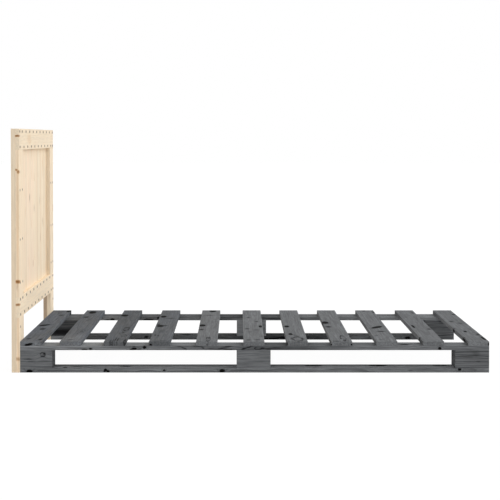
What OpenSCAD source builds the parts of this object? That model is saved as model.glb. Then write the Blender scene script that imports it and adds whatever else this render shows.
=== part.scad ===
// Single bed base built like a pallet, with a boarded headboard.
// Millimetres. The origin is on the floor, under the middle of the whole bed.
// +X runs from head to foot, +Y to the sleeper's left and +Z up.

/* [Base] */
// Length of the base from the headboard to the foot
base_length = 2000; // [1800:1:2200]
// Width of the base and of the headboard
base_width = 900; // [750:1:1600]
// Width of the side rails and of the blocks
rail_width = 90; // [80:1:130]
// Thickness of the two upper side rails
top_rail_thickness = 18; // [15:0.5:30]
// Thickness of the two runners on the floor
bottom_rail_thickness = 18; // [15:0.5:30]
// Height of the blocks between the rails
block_height = 78; // [70:1:120]
// Length of the middle and foot blocks
block_length = 145; // [120:1:170]
// Length of the head blocks
head_block_length = 136; // [120:1:170]
// How far the middle blocks lie from the middle of the base
middle_block_drift = -4.5; // [-10:0.5:10]

/* [Slats] */
// Width of a slat
slat_width = 90; // [75:1:110]
// Thickness of a slat
slat_thickness = 19; // [15:0.5:30]
// How far each slat lies from an even spacing, from head to foot
slat_drift = [0, -22, -25, -24, -14, -3, -9, -11, -9, -1, 0]; // [-25:1:25]

/* [Headboard] */
// Height of the headboard above the floor
headboard_height = 1040; // [900:1:1300]
// Thickness of the front layer: rails, stiles and leg boards
front_layer = 18; // [15:0.5:25]
// Thickness of the back layer: posts and panel boards
back_layer = 18; // [16:0.5:25]
// Width of the headboard's top and bottom rails
headboard_rail_width = 90; // [60:1:130]
// Width of the posts, the stiles and the leg boards
post_width = 90; // [75:1:120]
// Height of the bottom rail's lower edge above the floor
under_rail_height = 234; // [190:1:300]
// Number of panel boards between the two posts
panel_count = 8; // [6:1:10]
// Open seam between two boards of the back layer
board_seam = 0.5; // [0.2:0.1:2]

/* [Timber] */
// Radius of the eased edges along every board
edge_radius = 1.2; // [0.5:0.1:3]

/* [Board screws] */
// Thread diameter of the screws that join board to board
board_screw_d = 4; // [3:0.5:5]
// Head diameter of those screws
board_screw_head_d = 8; // [7:0.5:9]
// Wood left beyond the tip of a screw that ends in a visible board
screw_cover = 6; // [3:0.5:8]
// Distance of a screw row from the edge of the headboard rail
row_inset = 12; // [8:1:20]
// How far the two rows step aside from the middle of each board
row_stagger = 25; // [15:1:28]
// Distance of the corner screws from the side of the headboard
corner_inset = 15; // [8:1:16]
// Height of the lowest stile screws above the foot of the stile
stile_screw_foot = 58; // [20:1:120]
// Height from the lowest to the middle stile screws
stile_screw_middle = 185; // [100:1:200]
// Distance of the highest stile screws from the head of the stile
stile_screw_head = 172; // [20:1:180]
// Distance of the upper leg screw from the top of the leg board
leg_screw_top = 40; // [20:1:60]
// Height of the lower leg screw above the floor
leg_screw_foot = 12; // [10:1:15]
// Distance of a slat screw from the middle of the slat
slat_screw_along = 25; // [20:1:30]
// Distance of a slat screw from the middle of the rail
slat_screw_across = 20; // [16:1:28]

/* [Block screws] */
// Thread diameter of the long screws from the runner up into a slat
long_screw_d = 6; // [5:0.5:7]
// Head diameter of the long screws
long_screw_head_d = 12; // [10:0.5:13]
// Thread diameter of the screws that hold one rail to a block
block_screw_d = 5; // [4:0.5:6]
// Head diameter of those screws
block_screw_head_d = 10; // [9:0.5:11]
// Length of those screws
block_screw_length = 50; // [35:1:52]
// Distance of the runner's screws from the end of the block
block_screw_inset = 22; // [15:1:30]
// Distance of the runner's screws from the middle of the block
block_screw_across = 32; // [30:1:34]
// How far a screw head is sunk below a face
head_sink = 0.5; // [0.2:0.1:1.5]

/* [Coach screws] */
// Thread diameter of the coach screws through the headboard's legs
coach_screw_d = 8; // [6:0.5:10]
// Width of their hexagonal heads, flat to flat
coach_head_width = 13; // [10:0.5:17]
// Height of their heads
coach_head_height = 5.3; // [4:0.1:7]
// Length of their shanks
coach_screw_length = 90; // [70:1:120]
// Distance of each coach screw above or below the middle of the block
coach_screw_spread = 20; // [15:1:22]
// Outside diameter of the washers
washer_d = 20; // [18:0.5:22]
// Thickness of the washers
washer_thickness = 1.6; // [1:0.1:3]
// How far the heads lie below the back of the posts
head_cover = 2.1; // [0.5:0.1:5]

/* [Clearances] */
// Gap between a screw and its hole in the wood
screw_gap = 0.1; // [0.05:0.05:0.3]
// Gap between a washer and the pocket or the shank
washer_gap = 0.4; // [0.2:0.1:1]

/* [Hidden] */
$fn = 48;
stain = "#6c6e70";
stain_dark = "#5f6163";
pine = "#ecd8b8";
pine_panel = "#e8d2b2";
black_steel = "#2d2d30";
zinc = "#b9bcc0";

// Overall sizes and the planes that pieces share
slat_count = len(slat_drift);
headboard_thickness = front_layer + back_layer;
overall_length = base_length + headboard_thickness;
back_x = -overall_length / 2;
layer_x = back_x + back_layer;
head_x = layer_x + front_layer;
foot_x = head_x + base_length;
block_z = bottom_rail_thickness;
rail_z = block_z + block_height;
slat_z = rail_z + top_rail_thickness;
base_height = slat_z + slat_thickness;

// Places along and across the base
slat_pitch = (base_length - slat_width) / (slat_count - 1);
slat_x = [for (i = [0 : slat_count - 1]) head_x + i * slat_pitch + slat_drift[i]];
function slat_middle(i) = slat_x[i] + slat_width / 2;
function rail_y(side) = side * (base_width - rail_width) / 2;
block_lengths = [head_block_length, block_length, block_length];
block_x = [head_x, (head_x + foot_x - block_length) / 2 + middle_block_drift, foot_x - block_length];
block_names = ["head", "middle", "foot"];
block_slats = [0, floor(slat_count / 2), slat_count - 1];
free_slats = [for (i = [0 : slat_count - 1]) if (len(search(i, block_slats)) == 0) i];

// The headboard's layers: back board 0 is the right post and the last one is the left post
last_board = panel_count + 1;
panel_pitch = (base_width - 2 * post_width - board_seam) / panel_count;
panel_width = panel_pitch - board_seam;
top_rail_z = headboard_height - headboard_rail_width;
stile_z = under_rail_height + headboard_rail_width;
stile_height = top_rail_z - stile_z;
function board_y(k) =
    k == 0 ? -base_width / 2
    : k == last_board ? base_width / 2 - post_width
    : -base_width / 2 + post_width + board_seam + (k - 1) * panel_pitch;
function board_width(k) = k == 0 || k == last_board ? post_width : panel_width;
function post_y(side) = side < 0 ? board_y(0) : board_y(last_board);

// Screw places in the headboard, each as [y, z]
function rail_points(k, z) = let(
    middle = board_y(k) + board_width(k) / 2,
    upper = z + headboard_rail_width - row_inset,
    lower = z + row_inset
) concat(
    [[middle + row_stagger, upper], [middle - row_stagger, lower]],
    k == 0 ? [[-base_width / 2 + corner_inset, upper]] : [],
    k == last_board ? [[base_width / 2 - corner_inset, lower]] : []
);
function all_rail_points(z) = [for (k = [0 : last_board]) each rail_points(k, z)];
function outer_y(side) = side * (base_width / 2 - corner_inset);
function inner_y(side) = side * (base_width / 2 - post_width / 2 - row_stagger);
stile_rows = [
    stile_z + stile_screw_foot,
    stile_z + stile_screw_foot + stile_screw_middle,
    top_rail_z - stile_screw_head
];
function stile_points(side) = [for (z = stile_rows, y = [outer_y(side), inner_y(side)]) [y, z]];
leg_rows = [under_rail_height - leg_screw_top, block_z + block_height / 2, leg_screw_foot];
function leg_points(side) = [
    [outer_y(side), leg_rows[0]],
    [inner_y(side), leg_rows[1]],
    [outer_y(side), leg_rows[2]]
];

// Screw places in the base, each as [x, y]. Slat screws and long screws lie on one diagonal of
// the crossing, and the upper rail's own screws on the other
function crossing(i, side, turn) = [for (s = [-1, 1])
    [slat_middle(i) + s * slat_screw_along, rail_y(side) + s * turn * slat_screw_across]];
function runner_points(b, side) = [for (s = [-1, 1])
    [block_x[b] + block_lengths[b] / 2 + s * (block_lengths[b] / 2 - block_screw_inset),
     rail_y(side) + s * block_screw_across]];
function coach_points(side) = [for (s = [-1, 1])
    [rail_y(side), block_z + block_height / 2 + s * coach_screw_spread]];

// Screw lengths, from the boards that they join
headboard_screw_length = headboard_thickness - screw_cover;
slat_screw_length = top_rail_thickness + slat_thickness - screw_cover;
long_screw_length = base_height - screw_cover;

// Coach screws: the washer lies on the floor of a pocket in the post, and the head on the washer
pocket_depth = head_cover + coach_head_height + washer_thickness;
washer_x = back_x + pocket_depth - washer_thickness;

// Cross slots of a screw head, as shares of its diameter
slot_length = 0.45;
slot_width = 0.14;
slot_depth = 0.2;

// How far a cut starts outside the face that it enters
overrun = 1;

function numbered(n) = str("slat_", n < 10 ? "0" : "", n);
SIDES = [[-1, "right"], [1, "left"]];
FASTENERS = ["slat_screws", "long_block_screws", "top_rail_screws", "bottom_rail_screws",
    "headboard_rail_screws", "headboard_stile_screws", "headboard_leg_screws",
    "coach_screws", "coach_screw_washers"];

// Section of a planed board, its four corners eased
module section(w, t) {
    square([w - 2 * edge_radius, t], center = true);
    square([w, t - 2 * edge_radius], center = true);
    for (i = [-1, 1], j = [-1, 1])
        translate([i * (w / 2 - edge_radius), j * (t / 2 - edge_radius)])
            circle(edge_radius);
}

// Boards with their grain along X, Y or Z. at is the lowest corner
module board_x(at, size)
    translate([at.x, at.y + size.y / 2, at.z + size.z / 2])
        rotate([90, 0, 90]) linear_extrude(size.x) section(size.y, size.z);

module board_y(at, size)
    translate([at.x + size.x / 2, at.y, at.z + size.z / 2])
        rotate([-90, 0, 0]) linear_extrude(size.y) section(size.x, size.z);

module board_z(at, size)
    translate([at.x + size.x / 2, at.y + size.y / 2, at.z])
        linear_extrude(size.z) section(size.x, size.y);

// Countersunk wood screw that enters a face at the origin and points down
module screw(d, head_d, length) {
    r = d / 2;
    head_r = head_d / 2;
    difference() {
        rotate_extrude()
            polygon([[0, -head_sink], [head_r, -head_sink], [r, -head_sink - head_r + r],
                [r, d - length], [0, -length]]);
        for (turn = [0, 90])
            rotate(turn)
                translate([0, 0, -head_sink - head_d * slot_depth])
                    linear_extrude(head_d)
                        square([head_d * slot_length, head_d * slot_width], center = true);
    }
}

// The hole that such a screw leaves in the wood
module screw_hole(d, head_d, length) {
    r = d / 2 + screw_gap;
    head_r = head_d / 2 + screw_gap;
    rotate_extrude()
        polygon([[0, overrun], [head_r, overrun], [head_r, -head_sink],
            [r, -head_sink - head_r + r], [r, d - length], [0, -length - screw_gap]]);
}

// Children at each [y, z] of the headboard's front face, pointing into it
module at_front(points)
    for (p = points) translate([head_x, p.x, p.y]) rotate([0, 90, 0]) children();

// Children at each [x, y] of a level face, pointing down, or up where facing is -1
module at_level(points, z, facing = 1)
    for (p = points) translate([p.x, p.y, z]) rotate([facing > 0 ? 0 : 180, 0, 0]) children();

module headboard_screw() screw(board_screw_d, board_screw_head_d, headboard_screw_length);
module headboard_hole() screw_hole(board_screw_d, board_screw_head_d, headboard_screw_length);
module slat_screw() screw(board_screw_d, board_screw_head_d, slat_screw_length);
module slat_hole() screw_hole(board_screw_d, board_screw_head_d, slat_screw_length);
module long_screw() screw(long_screw_d, long_screw_head_d, long_screw_length);
module long_hole() screw_hole(long_screw_d, long_screw_head_d, long_screw_length);
module block_screw() screw(block_screw_d, block_screw_head_d, block_screw_length);
module block_screw_hole() screw_hole(block_screw_d, block_screw_head_d, block_screw_length);

// Hole of a coach screw with its pocket, entering the back of the headboard at the origin
module coach_hole() {
    translate([-overrun, 0, 0]) rotate([0, 90, 0])
        cylinder(d = washer_d + 2 * washer_gap, h = pocket_depth + overrun);
    rotate([0, 90, 0])
        cylinder(d = coach_screw_d + 2 * screw_gap,
            h = pocket_depth - washer_thickness + coach_screw_length + screw_gap);
}

module coach_holes(side)
    for (p = coach_points(side)) translate([back_x, p.x, p.y]) coach_hole();

// Slats
module slat(i) color(stain) difference() {
    board_y([slat_x[i], -base_width / 2, slat_z], [slat_width, base_width, slat_thickness]);
    for (s = SIDES)
        if (len(search(i, block_slats)) > 0)
            at_level(crossing(i, s[0], -1), 0, -1) long_hole();
        else
            at_level(crossing(i, s[0], -1), rail_z, -1) slat_hole();
}

// Side rails and blocks
module top_rail(side) color(stain_dark) difference() {
    board_x([head_x, rail_y(side) - rail_width / 2, rail_z],
        [base_length, rail_width, top_rail_thickness]);
    for (i = free_slats) at_level(crossing(i, side, -1), rail_z, -1) slat_hole();
    for (i = block_slats) {
        at_level(crossing(i, side, -1), 0, -1) long_hole();
        at_level(crossing(i, side, 1), slat_z) block_screw_hole();
    }
}

module bottom_rail(side) color(stain_dark) difference() {
    board_x([head_x, rail_y(side) - rail_width / 2, 0],
        [base_length, rail_width, bottom_rail_thickness]);
    for (i = block_slats) at_level(crossing(i, side, -1), 0, -1) long_hole();
    for (b = [0 : 2]) at_level(runner_points(b, side), 0, -1) block_screw_hole();
}

module block(b, side) color(stain_dark) difference() {
    board_x([block_x[b], rail_y(side) - rail_width / 2, block_z],
        [block_lengths[b], rail_width, block_height]);
    at_level(crossing(block_slats[b], side, -1), 0, -1) long_hole();
    at_level(crossing(block_slats[b], side, 1), slat_z) block_screw_hole();
    at_level(runner_points(b, side), 0, -1) block_screw_hole();
    if (b == 0) coach_holes(side);
}

// Headboard, front layer
module headboard_rail(z) color(pine) difference() {
    board_y([layer_x, -base_width / 2, z], [front_layer, base_width, headboard_rail_width]);
    at_front(all_rail_points(z)) headboard_hole();
}

module stile(side) color(pine) difference() {
    board_z([layer_x, post_y(side), stile_z], [front_layer, post_width, stile_height]);
    at_front(stile_points(side)) headboard_hole();
}

module leg(side) color(pine) difference() {
    board_z([layer_x, post_y(side), 0], [front_layer, post_width, under_rail_height]);
    at_front(leg_points(side)) headboard_hole();
    coach_holes(side);
}

// Headboard, back layer
module post(side) color(pine) difference() {
    k = side < 0 ? 0 : last_board;
    board_z([back_x, post_y(side), 0], [back_layer, post_width, headboard_height]);
    at_front(rail_points(k, top_rail_z)) headboard_hole();
    at_front(rail_points(k, under_rail_height)) headboard_hole();
    at_front(stile_points(side)) headboard_hole();
    at_front(leg_points(side)) headboard_hole();
    coach_holes(side);
}

module panel_board(k) color(pine_panel) difference() {
    board_z([back_x, board_y(k), under_rail_height],
        [back_layer, board_width(k), headboard_height - under_rail_height]);
    at_front(rail_points(k, top_rail_z)) headboard_hole();
    at_front(rail_points(k, under_rail_height)) headboard_hole();
}

// Fasteners
module slat_screws() color(black_steel)
    for (s = SIDES, i = free_slats) at_level(crossing(i, s[0], -1), rail_z, -1) slat_screw();

module long_block_screws() color(black_steel)
    for (s = SIDES, i = block_slats) at_level(crossing(i, s[0], -1), 0, -1) long_screw();

module top_rail_screws() color(black_steel)
    for (s = SIDES, i = block_slats) at_level(crossing(i, s[0], 1), slat_z) block_screw();

module bottom_rail_screws() color(black_steel)
    for (s = SIDES, b = [0 : 2]) at_level(runner_points(b, s[0]), 0, -1) block_screw();

module headboard_rail_screws() color(black_steel)
    for (z = [top_rail_z, under_rail_height]) at_front(all_rail_points(z)) headboard_screw();

module headboard_stile_screws() color(black_steel)
    for (s = SIDES) at_front(stile_points(s[0])) headboard_screw();

module headboard_leg_screws() color(black_steel)
    for (s = SIDES) at_front(leg_points(s[0])) headboard_screw();

// Hexagonal coach screw that points up, the underside of its head at the origin
module coach_screw() {
    r = coach_screw_d / 2;
    inside_head = -coach_head_height / 2;
    translate([0, 0, -coach_head_height])
        cylinder(d = coach_head_width / cos(30), h = coach_head_height, $fn = 6);
    rotate_extrude()
        polygon([[0, inside_head], [r, inside_head], [r, coach_screw_length - coach_screw_d],
            [0, coach_screw_length]]);
}

module coach_screws() color(zinc)
    for (s = SIDES, p = coach_points(s[0]))
        translate([washer_x, p.x, p.y]) rotate([0, 90, 0]) coach_screw();

module coach_screw_washers() color(zinc)
    for (s = SIDES, p = coach_points(s[0]))
        translate([washer_x, p.x, p.y]) rotate([0, 90, 0])
            difference() {
                cylinder(d = washer_d, h = washer_thickness);
                translate([0, 0, -overrun])
                    cylinder(d = coach_screw_d + 2 * washer_gap,
                        h = washer_thickness + 2 * overrun);
            }

for (i = [0 : slat_count - 1])
    slat(i);

for (s = SIDES) {
    top_rail(s[0]);
    bottom_rail(s[0]);
    for (b = [0 : 2])
        block(b, s[0]);
    stile(s[0]);
    leg(s[0]);
    post(s[0]);
}

headboard_rail(top_rail_z);  // headboard_top_rail
headboard_rail(under_rail_height);  // headboard_bottom_rail
for (k = [1 : panel_count])
    panel_board(k);

slat_screws();
long_block_screws();
top_rail_screws();
bottom_rail_screws();
headboard_rail_screws();
headboard_stile_screws();
headboard_leg_screws();
coach_screws();
coach_screw_washers();
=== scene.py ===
"""Looks of a single pallet bed base in grey-stained pine with a headboard of natural pine boards."""

import logging
import math
import random
from dataclasses import dataclass, field
from enum import Enum

import bmesh
import bpy
from bpy.types import Material, Mesh, Node, NodeSocket, NodeTree, Object
from mathutils import Euler, Matrix, Vector


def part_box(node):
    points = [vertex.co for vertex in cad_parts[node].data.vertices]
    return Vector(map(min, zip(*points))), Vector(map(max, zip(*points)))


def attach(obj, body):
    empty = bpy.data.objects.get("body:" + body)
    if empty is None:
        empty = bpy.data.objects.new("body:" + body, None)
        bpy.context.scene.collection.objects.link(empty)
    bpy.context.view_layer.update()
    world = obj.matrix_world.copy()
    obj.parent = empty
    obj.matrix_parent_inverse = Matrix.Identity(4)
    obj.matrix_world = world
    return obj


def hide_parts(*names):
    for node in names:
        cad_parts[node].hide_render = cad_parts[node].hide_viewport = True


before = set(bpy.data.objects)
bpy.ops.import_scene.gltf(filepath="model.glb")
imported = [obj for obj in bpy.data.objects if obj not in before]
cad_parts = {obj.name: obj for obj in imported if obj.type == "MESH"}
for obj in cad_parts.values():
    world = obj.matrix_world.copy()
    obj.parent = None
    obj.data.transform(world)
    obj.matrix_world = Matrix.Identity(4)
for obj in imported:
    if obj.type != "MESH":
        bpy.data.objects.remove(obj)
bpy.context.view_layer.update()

LOG = logging.getLogger("bed")
MM = 0.001
BODY = "root"

# Faces that meet more steeply than this keep a sharp edge.
SHARP_ANGLE = math.radians(35)
# Corners of the CAD mesh closer than this, in metres, are one corner.
WELD_GAP = 1e-5


def linear(colour: str) -> tuple[float, float, float, float]:
    """Turn an sRGB hex colour into linear light.

    Args:
        colour: Six hex digits after a hash sign.

    Returns:
        Red, green and blue in linear light, and an alpha of 1.
    """
    shares = [int(colour[i:i + 2], 16) / 255 for i in (1, 3, 5)]
    red, green, blue = [s / 12.92 if s <= 0.04045 else ((s + 0.055) / 1.055) ** 2.4 for s in shares]
    return red, green, blue, 1.0


def add_node(
    tree: NodeTree,
    kind: str,
    settings: dict[str | int, object] | None = None,
    links: dict[str | int, NodeSocket] | None = None,
) -> Node:
    """Add one shader node with its settings and links.

    Args:
        tree: The node tree that takes the node.
        kind: The node's type, without the words ShaderNode.
        settings: Values by the name of a property, or by the number or name of a socket.
        links: The sockets that feed the node, by the number or name of its own socket.

    Returns:
        The new node.
    """
    node = tree.nodes.new("ShaderNode" + kind)
    for key, value in (settings or {}).items():
        if isinstance(key, str) and hasattr(node, key):
            setattr(node, key, value)
        else:
            node.inputs[key].default_value = value
    for key, source in (links or {}).items():
        tree.links.new(source, node.inputs[key])
    return node


# Shapes


@dataclass
class Shape:
    """A closed surface, its corners in millimetres."""

    points: list[Vector]
    faces: list[tuple[int, ...]]

    def placed(self, matrix: Matrix) -> "Shape":
        """Return a copy moved by a matrix."""
        return Shape([matrix @ point for point in self.points], self.faces)

    def mesh(self, name: str, scale: float = 1.0) -> Mesh:
        """Return it as a mesh whose faces all look outwards.

        Args:
            name: The mesh's name.
            scale: What each length is multiplied by.

        Returns:
            The mesh.
        """
        mesh = bpy.data.meshes.new(name)
        mesh.from_pydata([point * scale for point in self.points], [], self.faces)
        work = bmesh.new()
        work.from_mesh(mesh)
        bmesh.ops.recalc_face_normals(work, faces=work.faces)
        work.to_mesh(mesh)
        work.free()
        return mesh


def gathered(shapes: list[Shape]) -> Shape:
    """Join shapes into one, without changing any of them."""
    points: list[Vector] = []
    faces: list[tuple[int, ...]] = []
    for shape in shapes:
        start = len(points)
        points.extend(shape.points)
        faces.extend(tuple(start + corner for corner in face) for face in shape.faces)
    return Shape(points, faces)


def turned(profile: list[tuple[float, float]], segments: int, ring: bool = False) -> Shape:
    """Turn a profile about the Z axis.

    Args:
        profile: Radius and height of each point, from the top down.
        segments: Number of sides of the round.
        ring: Whether the profile closes on itself instead of ending on the axis.

    Returns:
        The turned shape.
    """
    points: list[Vector] = []
    rows: list[list[int]] = []
    for radius, height in profile:
        steps = segments if radius > 0 else 1
        angles = [2 * math.pi * step / segments for step in range(steps)]
        rows.append(list(range(len(points), len(points) + steps)))
        points.extend(Vector((radius * math.cos(a), radius * math.sin(a), height)) for a in angles)
    pairs = list(zip(rows, rows[1:]))
    if ring:
        pairs.append((rows[-1], rows[0]))
    faces: list[tuple[int, ...]] = []
    for upper, lower in pairs:
        for step in range(segments):
            after = (step + 1) % segments
            corners = [upper[step % len(upper)], upper[after % len(upper)],
                       lower[after % len(lower)], lower[step % len(lower)]]
            faces.append(tuple(dict.fromkeys(corners)))
    return Shape(points, faces)


def prism(outline: list[tuple[float, float]], top: float, bottom: float, taper: float = 1.0) -> Shape:
    """Stretch an outline down from one height to another.

    Args:
        outline: X and Y of its corners.
        top: Height of the upper face.
        bottom: Height of the lower face.
        taper: Size of the lower face against the upper one.

    Returns:
        The prism.
    """
    count = len(outline)
    points = [Vector((x, y, top)) for x, y in outline]
    points += [Vector((x * taper, y * taper, bottom)) for x, y in outline]
    faces = [tuple(range(count)), tuple(range(2 * count - 1, count - 1, -1))]
    faces += [(i, (i + 1) % count, count + (i + 1) % count, count + i) for i in range(count)]
    return Shape(points, faces)


def modified_mesh(thing: Object) -> Mesh:
    """Return an object's mesh as a new one, with the object's modifiers applied."""
    return bpy.data.meshes.new_from_object(thing.evaluated_get(bpy.context.evaluated_depsgraph_get()))


def carved(shape: Shape, tool: Shape, operation: str = "DIFFERENCE") -> Shape:
    """Cut one shape with another.

    Args:
        shape: What is cut.
        tool: What cuts it.
        operation: The Boolean modifier's own word for the cut.

    Returns:
        What is left.
    """
    objects = []
    for part in (shape, tool):
        objects.append(bpy.data.objects.new("shop", part.mesh("shop")))
        bpy.context.scene.collection.objects.link(objects[-1])
    modifier = objects[0].modifiers.new("cut", "BOOLEAN")
    modifier.operation = operation
    modifier.solver = "EXACT"
    modifier.object = objects[1]
    done = modified_mesh(objects[0])
    left = Shape([vert.co.copy() for vert in done.vertices], [tuple(face.vertices) for face in done.polygons])
    bpy.data.meshes.remove(done)
    for thing in objects:
        mesh = thing.data
        bpy.data.objects.remove(thing)
        bpy.data.meshes.remove(mesh)
    return left


def eased_box(low: Vector, high: Vector, radius: float, steps: int) -> Shape:
    """Make a box with all twelve edges rounded.

    Args:
        low: Its lowest corner.
        high: Its highest corner.
        radius: Radius of the edges.
        steps: Number of flats in each rounded edge.

    Returns:
        The box.
    """
    work = bmesh.new()
    bmesh.ops.create_cube(work, size=1)
    for vert in work.verts:
        vert.co = Vector([low[i] if vert.co[i] < 0 else high[i] for i in range(3)])
    bmesh.ops.bevel(work, geom=work.edges[:], offset=radius, segments=steps, profile=0.5, affect="EDGES")
    work.verts.index_update()
    faces = [tuple(vert.index for vert in face.verts) for face in work.faces]
    box = Shape([vert.co.copy() for vert in work.verts], faces)
    work.free()
    return box


def fit_piece(name: str, shape: Shape, node: str, material: Material) -> Object:
    """Turn a shape into a piece of the bed that stands for its CAD node.

    Args:
        name: The piece's name.
        shape: Its surface in millimetres, in the frame's own place.
        node: The CAD node that it replaces.
        material: Its finish.

    Returns:
        The piece.
    """
    mesh = shape.mesh(name, MM)
    mesh.polygons.foreach_set("use_smooth", [True] * len(mesh.polygons))
    mesh.set_sharp_from_angle(angle=SHARP_ANGLE)
    mesh.materials.append(material)
    piece = bpy.data.objects.new(name, mesh)
    bpy.context.scene.collection.objects.link(piece)
    weighting = piece.modifiers.new("flat faces", "WEIGHTED_NORMAL")
    weighting.keep_sharp = True
    done = modified_mesh(piece)
    piece.modifiers.clear()
    piece.data = done
    bpy.data.meshes.remove(mesh)
    done.name = name
    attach(piece, BODY)
    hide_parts(node)
    return piece


# Timber: how each board grew and was sawn, and the light and shade painted on some boards


class Grain(Enum):
    """World axes of a board's length, width and thickness."""

    SIDE_RAIL = (0, 1, 2)
    SLAT = (1, 0, 2)
    HEADBOARD_RAIL = (1, 2, 0)
    UPRIGHT = (2, 1, 0)


class KnotKind(Enum):
    """What a knot or mark looks like once the board is planed and finished. Some marks are painted light or
    shade.
    """

    DEAD = "a loose dark knot with a hard edge, a little below the face"
    LIVE = "a sound knot with a thin dark rim and a middle of its own colour"
    SPIKE = "a knot cut lengthwise, a soft bar that is darkest in its middle"
    SWIRL = "growth rings that close round a hidden branch, as thin nested ovals"
    # Some streaks are painted shade: low along a runner by the floor, in the joint behind a headboard edge,
    # and on a block in shade.
    STREAK = "a soft dark streak of pitch or pressed grain"
    # Also painted light, on faces that catch more light.
    SAPWOOD = "a broad patch of paler sapwood"
    # Also painted shade, on faces that lie in shade.
    HEARTWOOD_AND_SHADE = "a broad patch of darker heartwood"


class Where(Enum):
    """Where on a board a knot comes out."""

    THROUGH = "on both wide faces"
    UPPER = "on the wide face that looks along the thickness"
    LOW_EDGE = "on the edge at the low end of the width"
    HIGH_EDGE = "on the edge at the high end of the width"
    START = "on the sawn end where the length starts"


@dataclass(frozen=True)
class Knot:
    """One knot: millimetres from the board's start, and from the middle of the face that it is on.

    On a sawn end, along counts from the middle of the thickness, length goes with the board's
    width and width with its thickness. The share is how strongly the knot is drawn, and the tilt
    is in degrees.
    """

    along: float
    across: float
    length: float
    width: float
    kind: KnotKind = KnotKind.DEAD
    where: Where = Where.THROUGH
    share: float = 1.0
    tilt: float = 0.0
    rings: int = 2


@dataclass(frozen=True)
class KnotPlace:
    """A knot in its board: its middle, half lengths and slant, and the way that its face looks."""

    middle: Vector
    halves: Vector
    slant: Vector
    normal: Vector


@dataclass(frozen=True)
class Timber:
    """What makes one board differ from the next.

    The tone is its brightness, the tint how much of the face takes the finish's second colour, and
    the figure how strongly its growth rings show. The ring width, and the swirl by which the rings
    bend round a knot, are in millimetres. The screw creep is how much farther a screw's stain, with
    its painted shade, has crept along the grain than across it.
    """

    knots: tuple[Knot, ...] = ()
    tone: float = 1.0
    tint: float = 0.0
    figure: float = 0.5
    ring_width: float = 4.5
    swirl: float = 12.0
    screw_creep: float = 1.0


DEAD = KnotKind.DEAD
LIVE = KnotKind.LIVE
SPIKE = KnotKind.SPIKE
SWIRL = KnotKind.SWIRL
STREAK = KnotKind.STREAK
HEARTWOOD_AND_SHADE = KnotKind.HEARTWOOD_AND_SHADE
SAPWOOD = KnotKind.SAPWOOD
UPPER = Where.UPPER
LOW_EDGE = Where.LOW_EDGE
HIGH_EDGE = Where.HIGH_EDGE
START = Where.START

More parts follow.
